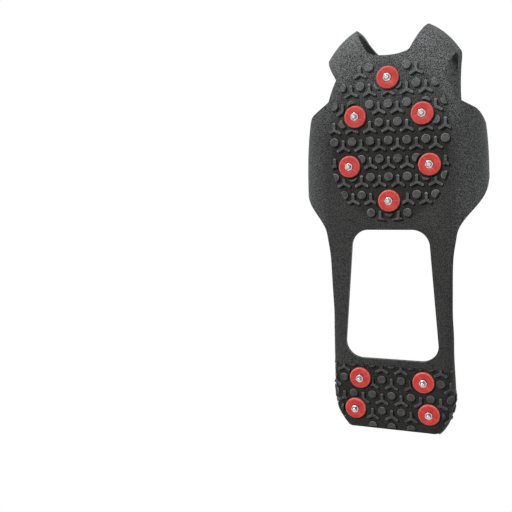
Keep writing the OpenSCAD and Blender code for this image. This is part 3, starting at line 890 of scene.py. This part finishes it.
def three_arms(tree, length, width):
    """A flat shape with three arms: points of a circle, four at each blunt end and one between."""
    ring = add(tree, "GeometryNodeMeshCircle", {"Vertices": ARMS * ARM_CORNERS}, fill_type="NGON")
    index = add(tree, "GeometryNodeInputIndex").outputs[0]
    corner = math_node(tree, "MODULO", index, ARM_CORNERS)
    arm = math_node(tree, "FLOOR", math_node(tree, "DIVIDE", index, ARM_CORNERS))
    between = math_node(tree, "GREATER_THAN", corner, 3.5)
    aside = math_node(tree, "SUBTRACT", corner, 1.5)
    across = math_node(tree, "MULTIPLY", aside, math_node(tree, "DIVIDE", width, 3.0))
    blunt = math_node(tree, "SUBTRACT", math_node(tree, "ABSOLUTE", aside), 0.5)
    blunt = math_node(tree, "MULTIPLY", blunt, math_node(tree, "MULTIPLY", width, BLUNT))
    along = math_node(tree, "SUBTRACT", length, blunt)
    swing = math_node(tree, "ARCTAN2", across, along)
    swing = add(tree, "ShaderNodeMix", {0: between, 2: swing, 3: math.radians(60)}).outputs[0]
    end = math_node(tree, "DIVIDE", along, math_node(tree, "COSINE", swing))
    root = math_node(tree, "DIVIDE", width, math.sqrt(3))
    radius = add(tree, "ShaderNodeMix", {0: between, 2: end, 3: root}).outputs[0]
    angle = math_node(tree, "ADD", swing, math.radians(90))
    angle = math_node(tree, "MULTIPLY_ADD", arm, math.radians(360 / ARMS), angle)
    flat = [math_node(tree, "MULTIPLY", radius, math_node(tree, way, angle))
            for way in ("COSINE", "SINE")]
    place = add(tree, "ShaderNodeCombineXYZ", dict(enumerate(flat)))
    moved = add(tree, "GeometryNodeSetPosition",
                {"Geometry": ring.outputs[0], "Position": place.outputs[0]})
    return moved.outputs[0]


def raised(tree, flat, height, edge):
    """Draws a flat shape up into a lug with a sloping edge, and keeps how high each point is."""
    wall = add(tree, "GeometryNodeExtrudeMesh",
               {"Mesh": flat, "Offset Scale": math_node(tree, "SUBTRACT", height, edge),
                "Individual": False}, mode="FACES").outputs
    rim = add(tree, "GeometryNodeExtrudeMesh",
              {"Mesh": wall["Mesh"], "Selection": wall["Top"], "Offset Scale": edge,
               "Individual": False}, mode="FACES").outputs
    top = add(tree, "GeometryNodeScaleElements",
              {"Geometry": rim["Mesh"], "Selection": rim["Top"], "Scale": TOP_SCALE},
              domain="FACE")
    under = add(tree, "GeometryNodeFlipFaces", {"Mesh": flat})
    both = add(tree, "GeometryNodeJoinGeometry", {0: [top.outputs[0], under.outputs[0]]})
    closed = add(tree, "GeometryNodeMergeByDistance",
                 {"Geometry": both.outputs[0], "Distance": LUG_MERGE})
    place = add(tree, "GeometryNodeInputPosition").outputs[0]
    high = add(tree, "ShaderNodeSeparateXYZ", {0: place}).outputs[2]
    kept = add(tree, "GeometryNodeStoreNamedAttribute",
               {"Geometry": closed.outputs[0], "Name": "rise",
                "Value": math_node(tree, "DIVIDE", high, height)},
               data_type="FLOAT", domain="POINT")
    return kept.outputs[0]


print("lug shapes ready")


# %% Lug tree
CLEAR_R, DRUM_STEPS, DRUM_H = COLLAR_R + 1.6, 36, 30
DOT_STEPS = 24
LUG_KINDS = ("is_dot", "is_arm")
DOWNWARD = (0, math.pi, 0)


def copies(tree, points, piece, inputs=None):
    made = add(tree, "GeometryNodeInstanceOnPoints",
               {"Points": points, "Instance": piece, **(inputs or {})})
    return made.outputs[0]


def real(tree, geometry):
    return add(tree, "GeometryNodeRealizeInstances", {0: geometry}).outputs[0]


def close_tree(tree, geometry, material, result):
    done = add(tree, "GeometryNodeSetMaterial", {"Geometry": geometry, "Material": material})
    tree.links.new(done.outputs[0], result[0])


def all_lugs(tree, given):
    """Lugs of both kinds on their points, turned over to stand down from the sole."""
    radius = math_node(tree, "MULTIPLY", given["Dot diameter"], 0.5)
    disc = add(tree, "GeometryNodeMeshCircle", {"Vertices": DOT_STEPS, "Radius": radius},
               fill_type="NGON").outputs[0]
    arms = three_arms(tree, given["Arm length"], given["Arm width"])
    placed = []
    for kind, flat in zip(LUG_KINDS, (disc, arms)):
        chosen = add(tree, "GeometryNodeInputNamedAttribute", {"Name": kind}, data_type="BOOLEAN")
        lug = raised(tree, flat, given["Height"], given["Edge"])
        placed.append(copies(tree, given["Points"], lug,
                             {"Selection": chosen.outputs[0], "Rotation": DOWNWARD}))
    return real(tree, add(tree, "GeometryNodeJoinGeometry", {0: placed}).outputs[0])


def build_lug_tree():
    tree, given, result = new_group(
        "tread_lugs", "GeometryNodeTree",
        [("Points", GEOMETRY, None), ("Dot diameter", FLOAT, DOT_D * MM),
         ("Arm length", FLOAT, ARM_L * MM), ("Arm width", FLOAT, ARM_W * MM),
         ("Height", FLOAT, (LUG_H + LUG_SINK) * MM), ("Edge", FLOAT, LUG_EDGE * MM),
         ("Zone", OBJECT, None), ("Studs", OBJECT, None), ("Clearing", FLOAT, CLEAR_R * MM),
         ("Rubber", MATERIAL, None)],
        [("Lugs", GEOMETRY)])
    lugs = all_lugs(tree, given)
    zone = add(tree, "GeometryNodeObjectInfo", {"Object": given["Zone"]})
    studs = add(tree, "GeometryNodeObjectInfo", {"Object": given["Studs"]})
    drum = add(tree, "GeometryNodeMeshCylinder",
               {"Vertices": DRUM_STEPS, "Radius": given["Clearing"], "Depth": DRUM_H * MM})
    drums = real(tree, copies(tree, studs.outputs["Geometry"], drum.outputs[0]))
    ground = add(tree, "GeometryNodeMeshBoolean",
                 {"Mesh 1": zone.outputs["Geometry"], "Mesh 2": drums}, operation="DIFFERENCE")
    cut = add(tree, "GeometryNodeMeshBoolean", {"Mesh 2": [lugs, ground.outputs[0]]},
              operation="INTERSECT")
    close_tree(tree, cut.outputs[0], given["Rubber"], result)
    return tree


def set_inputs(modifier, values):
    """Sets a modifier's inputs, found by name and set by identifier."""
    for item in modifier.node_group.interface.items_tree:
        if item.in_out == "INPUT" and item.name in values:
            modifier[item.identifier] = values[item.name]


LUGS = build_lug_tree()
print("tree", LUGS.name, "nodes", len(LUGS.nodes))

# %% [markdown]
# The points lie on a grid whose odd rows are shifted by half a step. Under the forefoot the tread
# is an oval. At the heel it runs on over the edge and up the low wall. There the lugs are made flat
# at first, and then each of their points is laid over the edge, at the same distance along the
# surface.

# %% Zones of the tread
EDGE_ACROSS, EDGE_UP = HEEL_BEND + RUBBER_T, HEEL_BEND_H + RUBBER_T
EDGE_RUN = math.pi / 4 * (EDGE_ACROSS + EDGE_UP)
SIDE_RUN, WALL_MARGIN = 17.0, 1.2
REAR_INSET, REAR_FROM, REAR_FADE = -4.5, 7, 5
FORE_ZONE_STEPS, HEEL_ZONE_STEPS, HALVINGS = 96, 40, 40
NARROWEST, WIDEST = 10.0, 70.0
ZONE_SPARE, ZONE_MERGE = 1, 1e-7


def in_fore(p, grow):
    across, along = abs(p.x) / (TREAD_W + grow), abs(p.y - FORE_LUGS) / (TREAD_L + grow)
    return across ** TREAD_POWER + along ** TREAD_POWER < 1


def past_edge(p):
    """How far a place lies outside the heel's flat, and which way is straight out."""
    if p.y > HEEL_Y:
        return abs(p.x) - HEEL_W + HEEL_BEND, Vector((math.copysign(1, p.x), 0, 0))
    way = Vector((p.x, p.y - HEEL_Y, 0))
    angle = math.degrees(math.atan2(-way.y, abs(way.x)))
    return way.length - heel_shape(angle)[0] + HEEL_BEND, way.normalized()


def heel_reach(p):
    """How far past the flat the lugs may go: not over the wall's top or round the rear corner."""
    angle = math.degrees(math.atan2(HEEL_Y - p.y, abs(p.x)))
    top = heel_top(HEEL_Y - p.y if p.y > HEEL_Y else angle)
    wall = top * EDGE_RUN if top < 1 else EDGE_RUN + (top - 1) * WALL_SPAN
    rear = smooth((HEEL_TREAD[0] + REAR_FROM - p.y) / REAR_FADE)
    return mix(min(SIDE_RUN, wall - WALL_MARGIN), REAR_INSET, rear)


def in_heel(p, grow):
    along = HEEL_TREAD[0] - grow < p.y < HEEL_TREAD[1] + grow
    return along and past_edge(p)[0] < heel_reach(p) + grow


def fore_zone():
    square = lambda v: math.copysign(abs(v) ** (2 / TREAD_POWER), v)
    return [Vector((TREAD_W * square(cos(a)), FORE_LUGS + TREAD_L * square(sin(a)), 0))
            for a in round_turn(FORE_ZONE_STEPS)]


def heel_zone():
    """The heel's flat and its edge unrolled, between the window and the rear edge."""
    half = []
    for y in span(*HEEL_TREAD, HEEL_ZONE_STEPS):
        low, high = NARROWEST, WIDEST
        for _ in range(HALVINGS):
            x = (low + high) / 2
            spot = Vector((x, y, 0))
            low, high = (x, high) if past_edge(spot)[0] < heel_reach(spot) else (low, x)
        half.append(Vector((x, y, 0)))
    return half + [Vector((-p.x, p.y, 0)) for p in reversed(half)]


def zone_object(name, outline):
    """A slab with the tread's outline, a little thicker than the lugs."""
    bm = bmesh.new()
    bmesh.ops.triangle_fill(bm, edges=add_loop(bm, outline), use_beauty=True)
    slab = bmesh.ops.extrude_face_region(bm, geom=bm.faces[:])
    fresh = [v for v in slab["geom"] if isinstance(v, bmesh.types.BMVert)]
    bmesh.ops.translate(bm, verts=fresh, vec=(0, 0, -LUG_H - LUG_SINK - 2 * ZONE_SPARE))
    bmesh.ops.translate(bm, verts=bm.verts, vec=(0, 0, SOLE_Z + LUG_SINK + ZONE_SPARE))
    return put(name, mesh_from(bm, name, ZONE_MERGE))


print("heel zone points", len(heel_zone()))


# %% Points of the tread
TREADS = {
    "forefoot": (FORE_LUGS, FORE_PITCH, FORE_ROW, FORE_STEP, fore_zone, in_fore),
    "heel": (HEEL_LUGS, HEEL_PITCH, HEEL_ROW, HEEL_STEP, heel_zone, in_heel),
}
GRID = range(-6, 7)
PART_LUG = 1.5
SIDE_SHARE, SIDE_FADE = 0.5, 8


def lattice(body):
    """Every place on a pad's grid, with the kind of lug and how near the next stud is."""
    centre, pitch, row, step = TREADS[body][:4]
    for k in GRID:
        for i in GRID:
            for kind, shift in zip(LUG_KINDS, (0, step)):
                p = Vector((pitch * (i + (k % 2) / 2), centre + row * k + shift, 0))
                yield kind, p, min((p.xy - s.xy).length for s in STUDS[body])


def lug_points(body):
    """The places whose lug lies in the zone, if only in part, with its kind."""
    inside = TREADS[body][5]
    return [(kind, Vector((p.x, p.y, SOLE_Z + LUG_SINK))) for kind, p, near in lattice(body)
            if inside(p, PART_LUG) and near > CLEAR_R - PART_LUG]


def laid(p):
    """Lays a point of a flat lug over the heel's edge. Lugs get lower as they go up the wall."""
    past, way = past_edge(p)
    if past <= 0:
        return p
    turn = min(90, 90 * past / EDGE_RUN)
    place = Vector((p.x, p.y, 0)) + way * (EDGE_ACROSS * sin(turn) - past)
    place.z = SOLE_Z + EDGE_UP * (1 - cos(turn)) + max(0, past - EDGE_RUN)
    out = (way * sin(turn) / EDGE_ACROSS - Vector((0, 0, cos(turn) / EDGE_UP))).normalized()
    high = SOLE_Z - p.z
    share = 1 if high < 0 else mix(1, SIDE_SHARE, smooth(past / SIDE_FADE))
    return place + out * (high * share)


print("lug points", {body: len(lug_points(body)) for body in TREADS})


# %% Lugs on the skin
LUG_SHARP = 30


def point_object(name, places):
    """Loose points for a tree to set its copies on."""
    mesh = bpy.data.meshes.new(name)
    mesh.from_pydata(places, [], [])
    return put(name, mesh)


def build_lugs(body, outline):
    name, spots = f"{body}_lugs", lug_points(body)
    lugs = point_object(name, [p * MM for _, p in spots])
    for kind in LUG_KINDS:
        mark = lugs.data.attributes.new(kind, "BOOLEAN", "POINT")
        mark.data.foreach_set("value", [k == kind for k, _ in spots])
    zone = zone_object(f"{body}_zone", outline)
    axes = point_object(f"{body}_axes", [p * MM for p in STUDS[body]])
    maker = lugs.modifiers.new("lugs", "NODES")
    maker.node_group = LUGS
    set_inputs(maker, {"Zone": zone, "Studs": axes, "Rubber": RUBBER})
    finish_mesh(lugs)
    for helper in (zone, axes):
        bpy.data.objects.remove(helper)
    if body == "heel":
        for v in lugs.data.vertices:
            v.co = laid(v.co / MM) * MM
    keep_places(lugs.data, "rest_place")
    lugs.data.set_sharp_from_angle(angle=math.radians(LUG_SHARP))
    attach(lugs, body)
    print(name, "points", len(spots), "faces", len(lugs.data.polygons))


for body, (*_, outline, _) in TREADS.items():
    build_lugs(body, outline())

# %% [markdown]
# ## Studs
#
# A stud is a red collar that grips the rubber, a bright hexagonal steel sleeve and a hard pin. All
# ten are alike. Each piece is turned once from a profile, like work on a lathe: the profile lists
# radius and height, and a share of six-sidedness for the sleeve. A tree then sets one on each
# stud's place, each turned by a random angle with a fixed seed. Every point also keeps its place in
# its own stud, so that a material can draw rings and lines round the stud's axis.

# %% Turned pieces
TURN_STEPS, TURN_MERGE, TURN_SHARP = 48, 1e-7, 32


def six_sided(angle, share):
    """How far a hexagon's side lies from its axis at an angle, beside its half width."""
    off = (angle + 30) % 60 - 30
    return mix(1, 1 / cos(off), share)


def turned_piece(name, profile):
    """A closed solid of revolution. Each profile point is radius, height and six-sidedness."""
    bm = bmesh.new()
    rings = []
    for r, z, share in profile:
        rings.append([bm.verts.new((r * six_sided(a, share) * cos(a),
                                    r * six_sided(a, share) * sin(a), z))
                      for a in round_turn(TURN_STEPS)])
    for low, high in zip(rings, rings[1:] + rings[:1]):
        for i in range(TURN_STEPS):
            j = (i + 1) % TURN_STEPS
            bm.faces.new((low[i], low[j], high[j], high[i]))
    mesh = mesh_from(bm, name, TURN_MERGE)
    mesh.shade_smooth()
    mesh.set_sharp_from_angle(angle=math.radians(TURN_SHARP))
    keep_places(mesh, "stud_spot")
    return put(name, mesh)


print("one ring has", TURN_STEPS, "points")

# %% Profiles of a stud
COLLAR_Z = collar_low.z / MM
NECK_R, ANCHOR_R, ANCHOR_T = 4, 6.5, 1.4
sleeve_low, sleeve_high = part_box("forefoot_sleeve_1")
SLEEVE_Z = sleeve_low.z / MM
HEAD_R = (sleeve_high.y - sleeve_low.y) / 2 / MM
HEAD_Z = SEAT_Z - 0.7
SLEEVE_R, RIM_R, RIM_DEPTH = 2.5, 2.0, 1.2
PIN_R, PIN_L, PIN_TIP, PIN_TIP_R = 1.5, 7.5, 0.9, 1.1
EASE = 0.05
FACE_R, COLLAR_ROUND, BACK_ROUND, ANCHOR_EDGE, HEAD_EDGE = 3.9, 1.0, 0.3, 0.25, 0.15


def collar_profile():
    bore, under = SLEEVE_R + EASE, SEAT_Z - ANCHOR_T
    face = [(bore, COLLAR_Z + 0.25, 1), (bore + 0.35, COLLAR_Z + 0.08, 0.7),
            (FACE_R, COLLAR_Z, 0), (COLLAR_R - 1.1, COLLAR_Z, 0)]
    rim = [(COLLAR_R - COLLAR_ROUND + COLLAR_ROUND * sin(a),
            COLLAR_Z + COLLAR_ROUND - COLLAR_ROUND * cos(a), 0) for a in span(8, 82, 6)]
    back = [(COLLAR_R - BACK_ROUND + BACK_ROUND * cos(a),
             SOLE_Z - BACK_ROUND + BACK_ROUND * sin(a), 0) for a in span(0, 90, 3)]
    neck = [(NECK_R, SOLE_Z, 0), (NECK_R, under, 0)]
    anchor = [(ANCHOR_R, under, 0), (ANCHOR_R, SEAT_Z - ANCHOR_EDGE, 0),
              (ANCHOR_R - ANCHOR_EDGE, SEAT_Z, 0)]
    seat = [(HEAD_R + EASE, SEAT_Z, 0), (HEAD_R + EASE, HEAD_Z, 0), (bore, HEAD_Z, 1)]
    return face + rim + back + neck + anchor + seat


def sleeve_profile():
    bore, step = PIN_R + EASE, SLEEVE_Z + RIM_DEPTH
    recess = [(bore, step, 0), (RIM_R - 0.15, step, 0), (RIM_R, step - 0.2, 0),
              (RIM_R, SLEEVE_Z + 0.12, 0)]
    end = [(RIM_R + 0.1, SLEEVE_Z, 0), (SLEEVE_R - 0.3, SLEEVE_Z, 0.25),
           (SLEEVE_R - 0.08, SLEEVE_Z + 0.12, 0.7), (SLEEVE_R, SLEEVE_Z + 0.4, 0.92)]
    head = [(SLEEVE_R, HEAD_Z, 0.92), (HEAD_R, HEAD_Z, 0), (HEAD_R, SEAT_Z - HEAD_EDGE, 0),
            (HEAD_R - HEAD_EDGE, SEAT_Z, 0), (bore, SEAT_Z, 0)]
    return recess + end + head


def pin_profile():
    tip = [(0, 0, 0), (PIN_TIP_R - 0.1, 0, 0), (PIN_TIP_R + 0.15, 0.16, 0)]
    shank = [(PIN_R - 0.06, PIN_TIP - 0.3, 0), (PIN_R, PIN_TIP, 0), (PIN_R, PIN_L, 0),
             (0, PIN_L, 0)]
    return tip + shank


TEMPLATES = {
    "collar": turned_piece("collar_template", collar_profile()),
    "sleeve": turned_piece("sleeve_template", sleeve_profile()),
    "pin": turned_piece("pin_template", pin_profile()),
}
print("templates", {k: len(v.data.polygons) for k, v in TEMPLATES.items()})

# %% [markdown]
# ## Finishes of the stud
#
# The collar is moulded in a satin red plastic. Its mould left a fine line out to the rim and rings
# from turning. The sleeve is plated steel, bright with faint turning rings, and the pin is a
# harder, greyer metal with a ground end. Inside the harness the sleeve's head is dirty and dull.
# It is the only place where the metal doesn't show, so the share of metal changes there alone.

# %% Red of the collars
RED = (0.465, 0.031, 0.0265, 1)
RED_DEEP = (0.35, 0.018, 0.016, 1)
# Pale worn red, also used as a painted highlight on the collar's rim.
RED_WORN_AND_HIGHLIGHT = (0.72, 0.15, 0.12, 1)
RED_SHADE = (0.16, 0.008, 0.008, 1)
RING_STEP = 0.32 * MM
# The rim band: wear and a painted highlight.
RIM_WEAR_AND_HIGHLIGHT = ((COLLAR_R - 1.1) * MM, (COLLAR_R - 0.6) * MM)
DEEP_PATCH, CHALK_PATCH, CHALK_GRAIN = (0.3, 0.7, 0, 0.6), (0.52, 0.3, 0, 0.35), (0.35, 0.65)
BORE_SHADE = ((SLEEVE_R + 0.3) * MM, (SLEEVE_R + 0.8) * MM, 0.8, 0)
MOULD_LINE, LINE_FROM = (0.08 * MM, 0.2 * MM, 1, 0), (SLEEVE_R + 0.6) * MM
LINE_SHARE, RIM_SHARE = 0.5, 0.85
RED_ROUGHNESS = (0.3, 0.7, 0.45, 0.6)


def stud_place(tree):
    """The place in its own stud: its three parts and the distance from the axis."""
    parts = add(tree, "ShaderNodeSeparateXYZ", {0: attribute(tree, "stud_spot", "Vector")}).outputs
    flat = add(tree, "ShaderNodeCombineXYZ", {0: parts[0], 1: parts[1]}).outputs[0]
    return parts, add(tree, "ShaderNodeVectorMath", {0: flat}, operation="LENGTH").outputs["Value"]


def turning_rings(tree, radius):
    """A height that rises and falls with the distance from the axis."""
    wave = math_node(tree, "SINE", math_node(tree, "MULTIPLY", radius, 2 * math.pi / RING_STEP))
    return math_node(tree, "MULTIPLY_ADD", wave, 0.5, 0.5)


def build_red():
    made, tree = new_material("collar_red")
    place = add(tree, "ShaderNodeTexCoord").outputs["Object"]
    parts, radius = stud_place(tree)
    grain = use_group(tree, GRAIN, {"Vector": place, "Pebbles per metre": 2600.0,
                                    "Patches per metre": 240.0})
    # The rim: wear with a painted highlight.
    rim = ramp(tree, radius, *RIM_WEAR_AND_HIGHLIGHT)
    wear_and_highlight = use_group(tree, WEAR_AND_HIGHLIGHT, {"Vector": place, "Proud": rim, "Noise per metre": 700.0})["Mask"]
    chalk = math_node(tree, "MULTIPLY", ramp(tree, grain["Patch"], *CHALK_PATCH),
                      ramp(tree, grain["Height"], *CHALK_GRAIN))
    line = ramp(tree, math_node(tree, "ABSOLUTE", parts[0]), *MOULD_LINE)
    line = math_node(tree, "MULTIPLY", line, math_node(tree, "GREATER_THAN", radius, LINE_FROM))
    colour = blend_colour(tree, ramp(tree, grain["Patch"], *DEEP_PATCH), RED, RED_DEEP)
    colour = blend_colour(tree, chalk, colour, RED_WORN_AND_HIGHLIGHT)
    colour = blend_colour(tree, ramp(tree, radius, *BORE_SHADE), colour, RED_SHADE)
    # The mould line is paler red, and the rim is worn and carries a painted highlight.
    for mark, share in ((line, LINE_SHARE), (wear_and_highlight, RIM_SHARE)):
        colour = blend_colour(tree, math_node(tree, "MULTIPLY", mark, share), colour, RED_WORN_AND_HIGHLIGHT)
    height = math_node(tree, "MULTIPLY_ADD", turning_rings(tree, radius), 0.25, grain["Height"])
    height = math_node(tree, "MULTIPLY_ADD", line, 0.8, height)
    close_material(tree, {"Strength": 0.3, "Distance": 0.08 * MM, "Height": height},
                   {"Base Color": colour, "Specular IOR Level": 0.35,
                    "Roughness": ramp(tree, grain["Patch"], *RED_ROUGHNESS)})
    return made


RED_FINISH = build_red()
print("finish", RED_FINISH.name)

# %% Metals of the sleeves and pins
STEEL = (0.66, 0.66, 0.67, 1)
STEEL_DULL = (0.36, 0.355, 0.35, 1)
HEAD_DIRT = (0.13, 0.127, 0.122, 1)
CARBIDE = (0.55, 0.55, 0.56, 1)
CARBIDE_DARK = (0.26, 0.26, 0.265, 1)
TIP_WEAR = 0.9
DIRT_PATCH, DIRTIEST = (0.4, 0.66, 0.1, 0.85), 1.5
HEAD_FADE = ((HEAD_Z - 0.6) * MM, HEAD_Z * MM)
HEAD_METAL = 0.1


def build_metal(name, bright, dull, tip, roughness, has_head):
    """A turned metal that is dull on its sides and worn bright towards its tip."""
    made, tree = new_material(name)
    place = add(tree, "ShaderNodeTexCoord").outputs["Object"]
    parts, radius = stud_place(tree)
    grain = use_group(tree, GRAIN, {"Vector": place, "Pebbles per metre": 4200.0,
                                    "Patches per metre": 700.0})
    worn = ramp(tree, parts[2], (tip + TIP_WEAR) * MM, tip * MM)
    worn = use_group(tree, WEAR_AND_HIGHLIGHT, {"Vector": place, "Proud": worn,
                                  "Noise per metre": 1500.0})["Mask"]
    dirt = ramp(tree, grain["Patch"], *DIRT_PATCH)
    dirt = math_node(tree, "SUBTRACT", dirt, worn, clamp=True)
    colour, metallic = blend_colour(tree, dirt, bright, dull), 1.0
    if has_head:
        head = ramp(tree, parts[2], *HEAD_FADE)
        colour = blend_colour(tree, head, colour, HEAD_DIRT)
        dirt = math_node(tree, "MAXIMUM", dirt, math_node(tree, "MULTIPLY", head, DIRTIEST))
        metallic = math_node(tree, "MULTIPLY_ADD", head, HEAD_METAL - 1, 1.0)
    height = math_node(tree, "MULTIPLY_ADD", grain["Height"], 0.6, turning_rings(tree, radius))
    close_material(tree, {"Strength": 0.35, "Distance": 0.05 * MM, "Height": height},
                   {"Base Color": colour, "Metallic": metallic,
                    "Roughness": ramp(tree, dirt, 0, DIRTIEST, *roughness)})
    return made


SLEEVE_FINISH = build_metal("sleeve_steel", STEEL, STEEL_DULL, SLEEVE_Z, (0.2, 0.53), True)
PIN_FINISH = build_metal("pin_carbide", CARBIDE, CARBIDE_DARK, 0.0, (0.26, 0.62), False)
FINISHES = {
    "collar": (RED_FINISH, "red_polymer"),
    "sleeve": (SLEEVE_FINISH, "stud_steel"),
    "pin": (PIN_FINISH, "stud_carbide"),
}
print("finishes", [m.name for m, _ in FINISHES.values()])


# %% Studs in their places
STUD_SEED = 3


def build_stud_tree():
    tree, given, result = new_group(
        "studs_on_points", "GeometryNodeTree",
        [("Points", GEOMETRY, None), ("Piece", OBJECT, None), ("Seed", INT, STUD_SEED),
         ("Finish", MATERIAL, None)],
        [("Studs", GEOMETRY)])
    piece = add(tree, "GeometryNodeObjectInfo", {"Object": given["Piece"]})
    chance = add(tree, "FunctionNodeRandomValue",
                 {2: 0.0, 3: 2 * math.pi, "Seed": given["Seed"]}, data_type="FLOAT")
    turn = add(tree, "ShaderNodeCombineXYZ", {2: chance.outputs[1]})
    turned = add(tree, "FunctionNodeEulerToRotation", {0: turn.outputs[0]})
    studs = real(tree, copies(tree, given["Points"], piece.outputs["Geometry"],
                              {"Rotation": turned.outputs[0]}))
    close_tree(tree, studs, given["Finish"], result)
    return tree


STUD_TREE = build_stud_tree()


def build_studs(body, kind):
    name = f"{body}_{kind}s"
    studs = point_object(name, [(p.x * MM, p.y * MM, 0) for p in STUDS[body]])
    maker = studs.modifiers.new("studs", "NODES")
    maker.node_group = STUD_TREE
    finish, slot = FINISHES[kind]
    set_inputs(maker, {"Piece": TEMPLATES[kind], "Finish": finish, "Seed": STUD_SEED})
    finish_mesh(studs)
    # Metal throws no shadow on its small collar, and red throws no glow on the floor.
    studs.visible_shadow = kind == "collar"
    studs.visible_diffuse = kind != "collar"
    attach(studs, body)
    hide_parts(*[f"{body}_{kind}_{i + 1}" for i in range(len(STUDS[body]))])
    print(name, "faces", len(studs.data.polygons))


for body in STUDS:
    for kind in TEMPLATES:
        build_studs(body, kind)
for template in TEMPLATES.values():
    bpy.data.objects.remove(template)
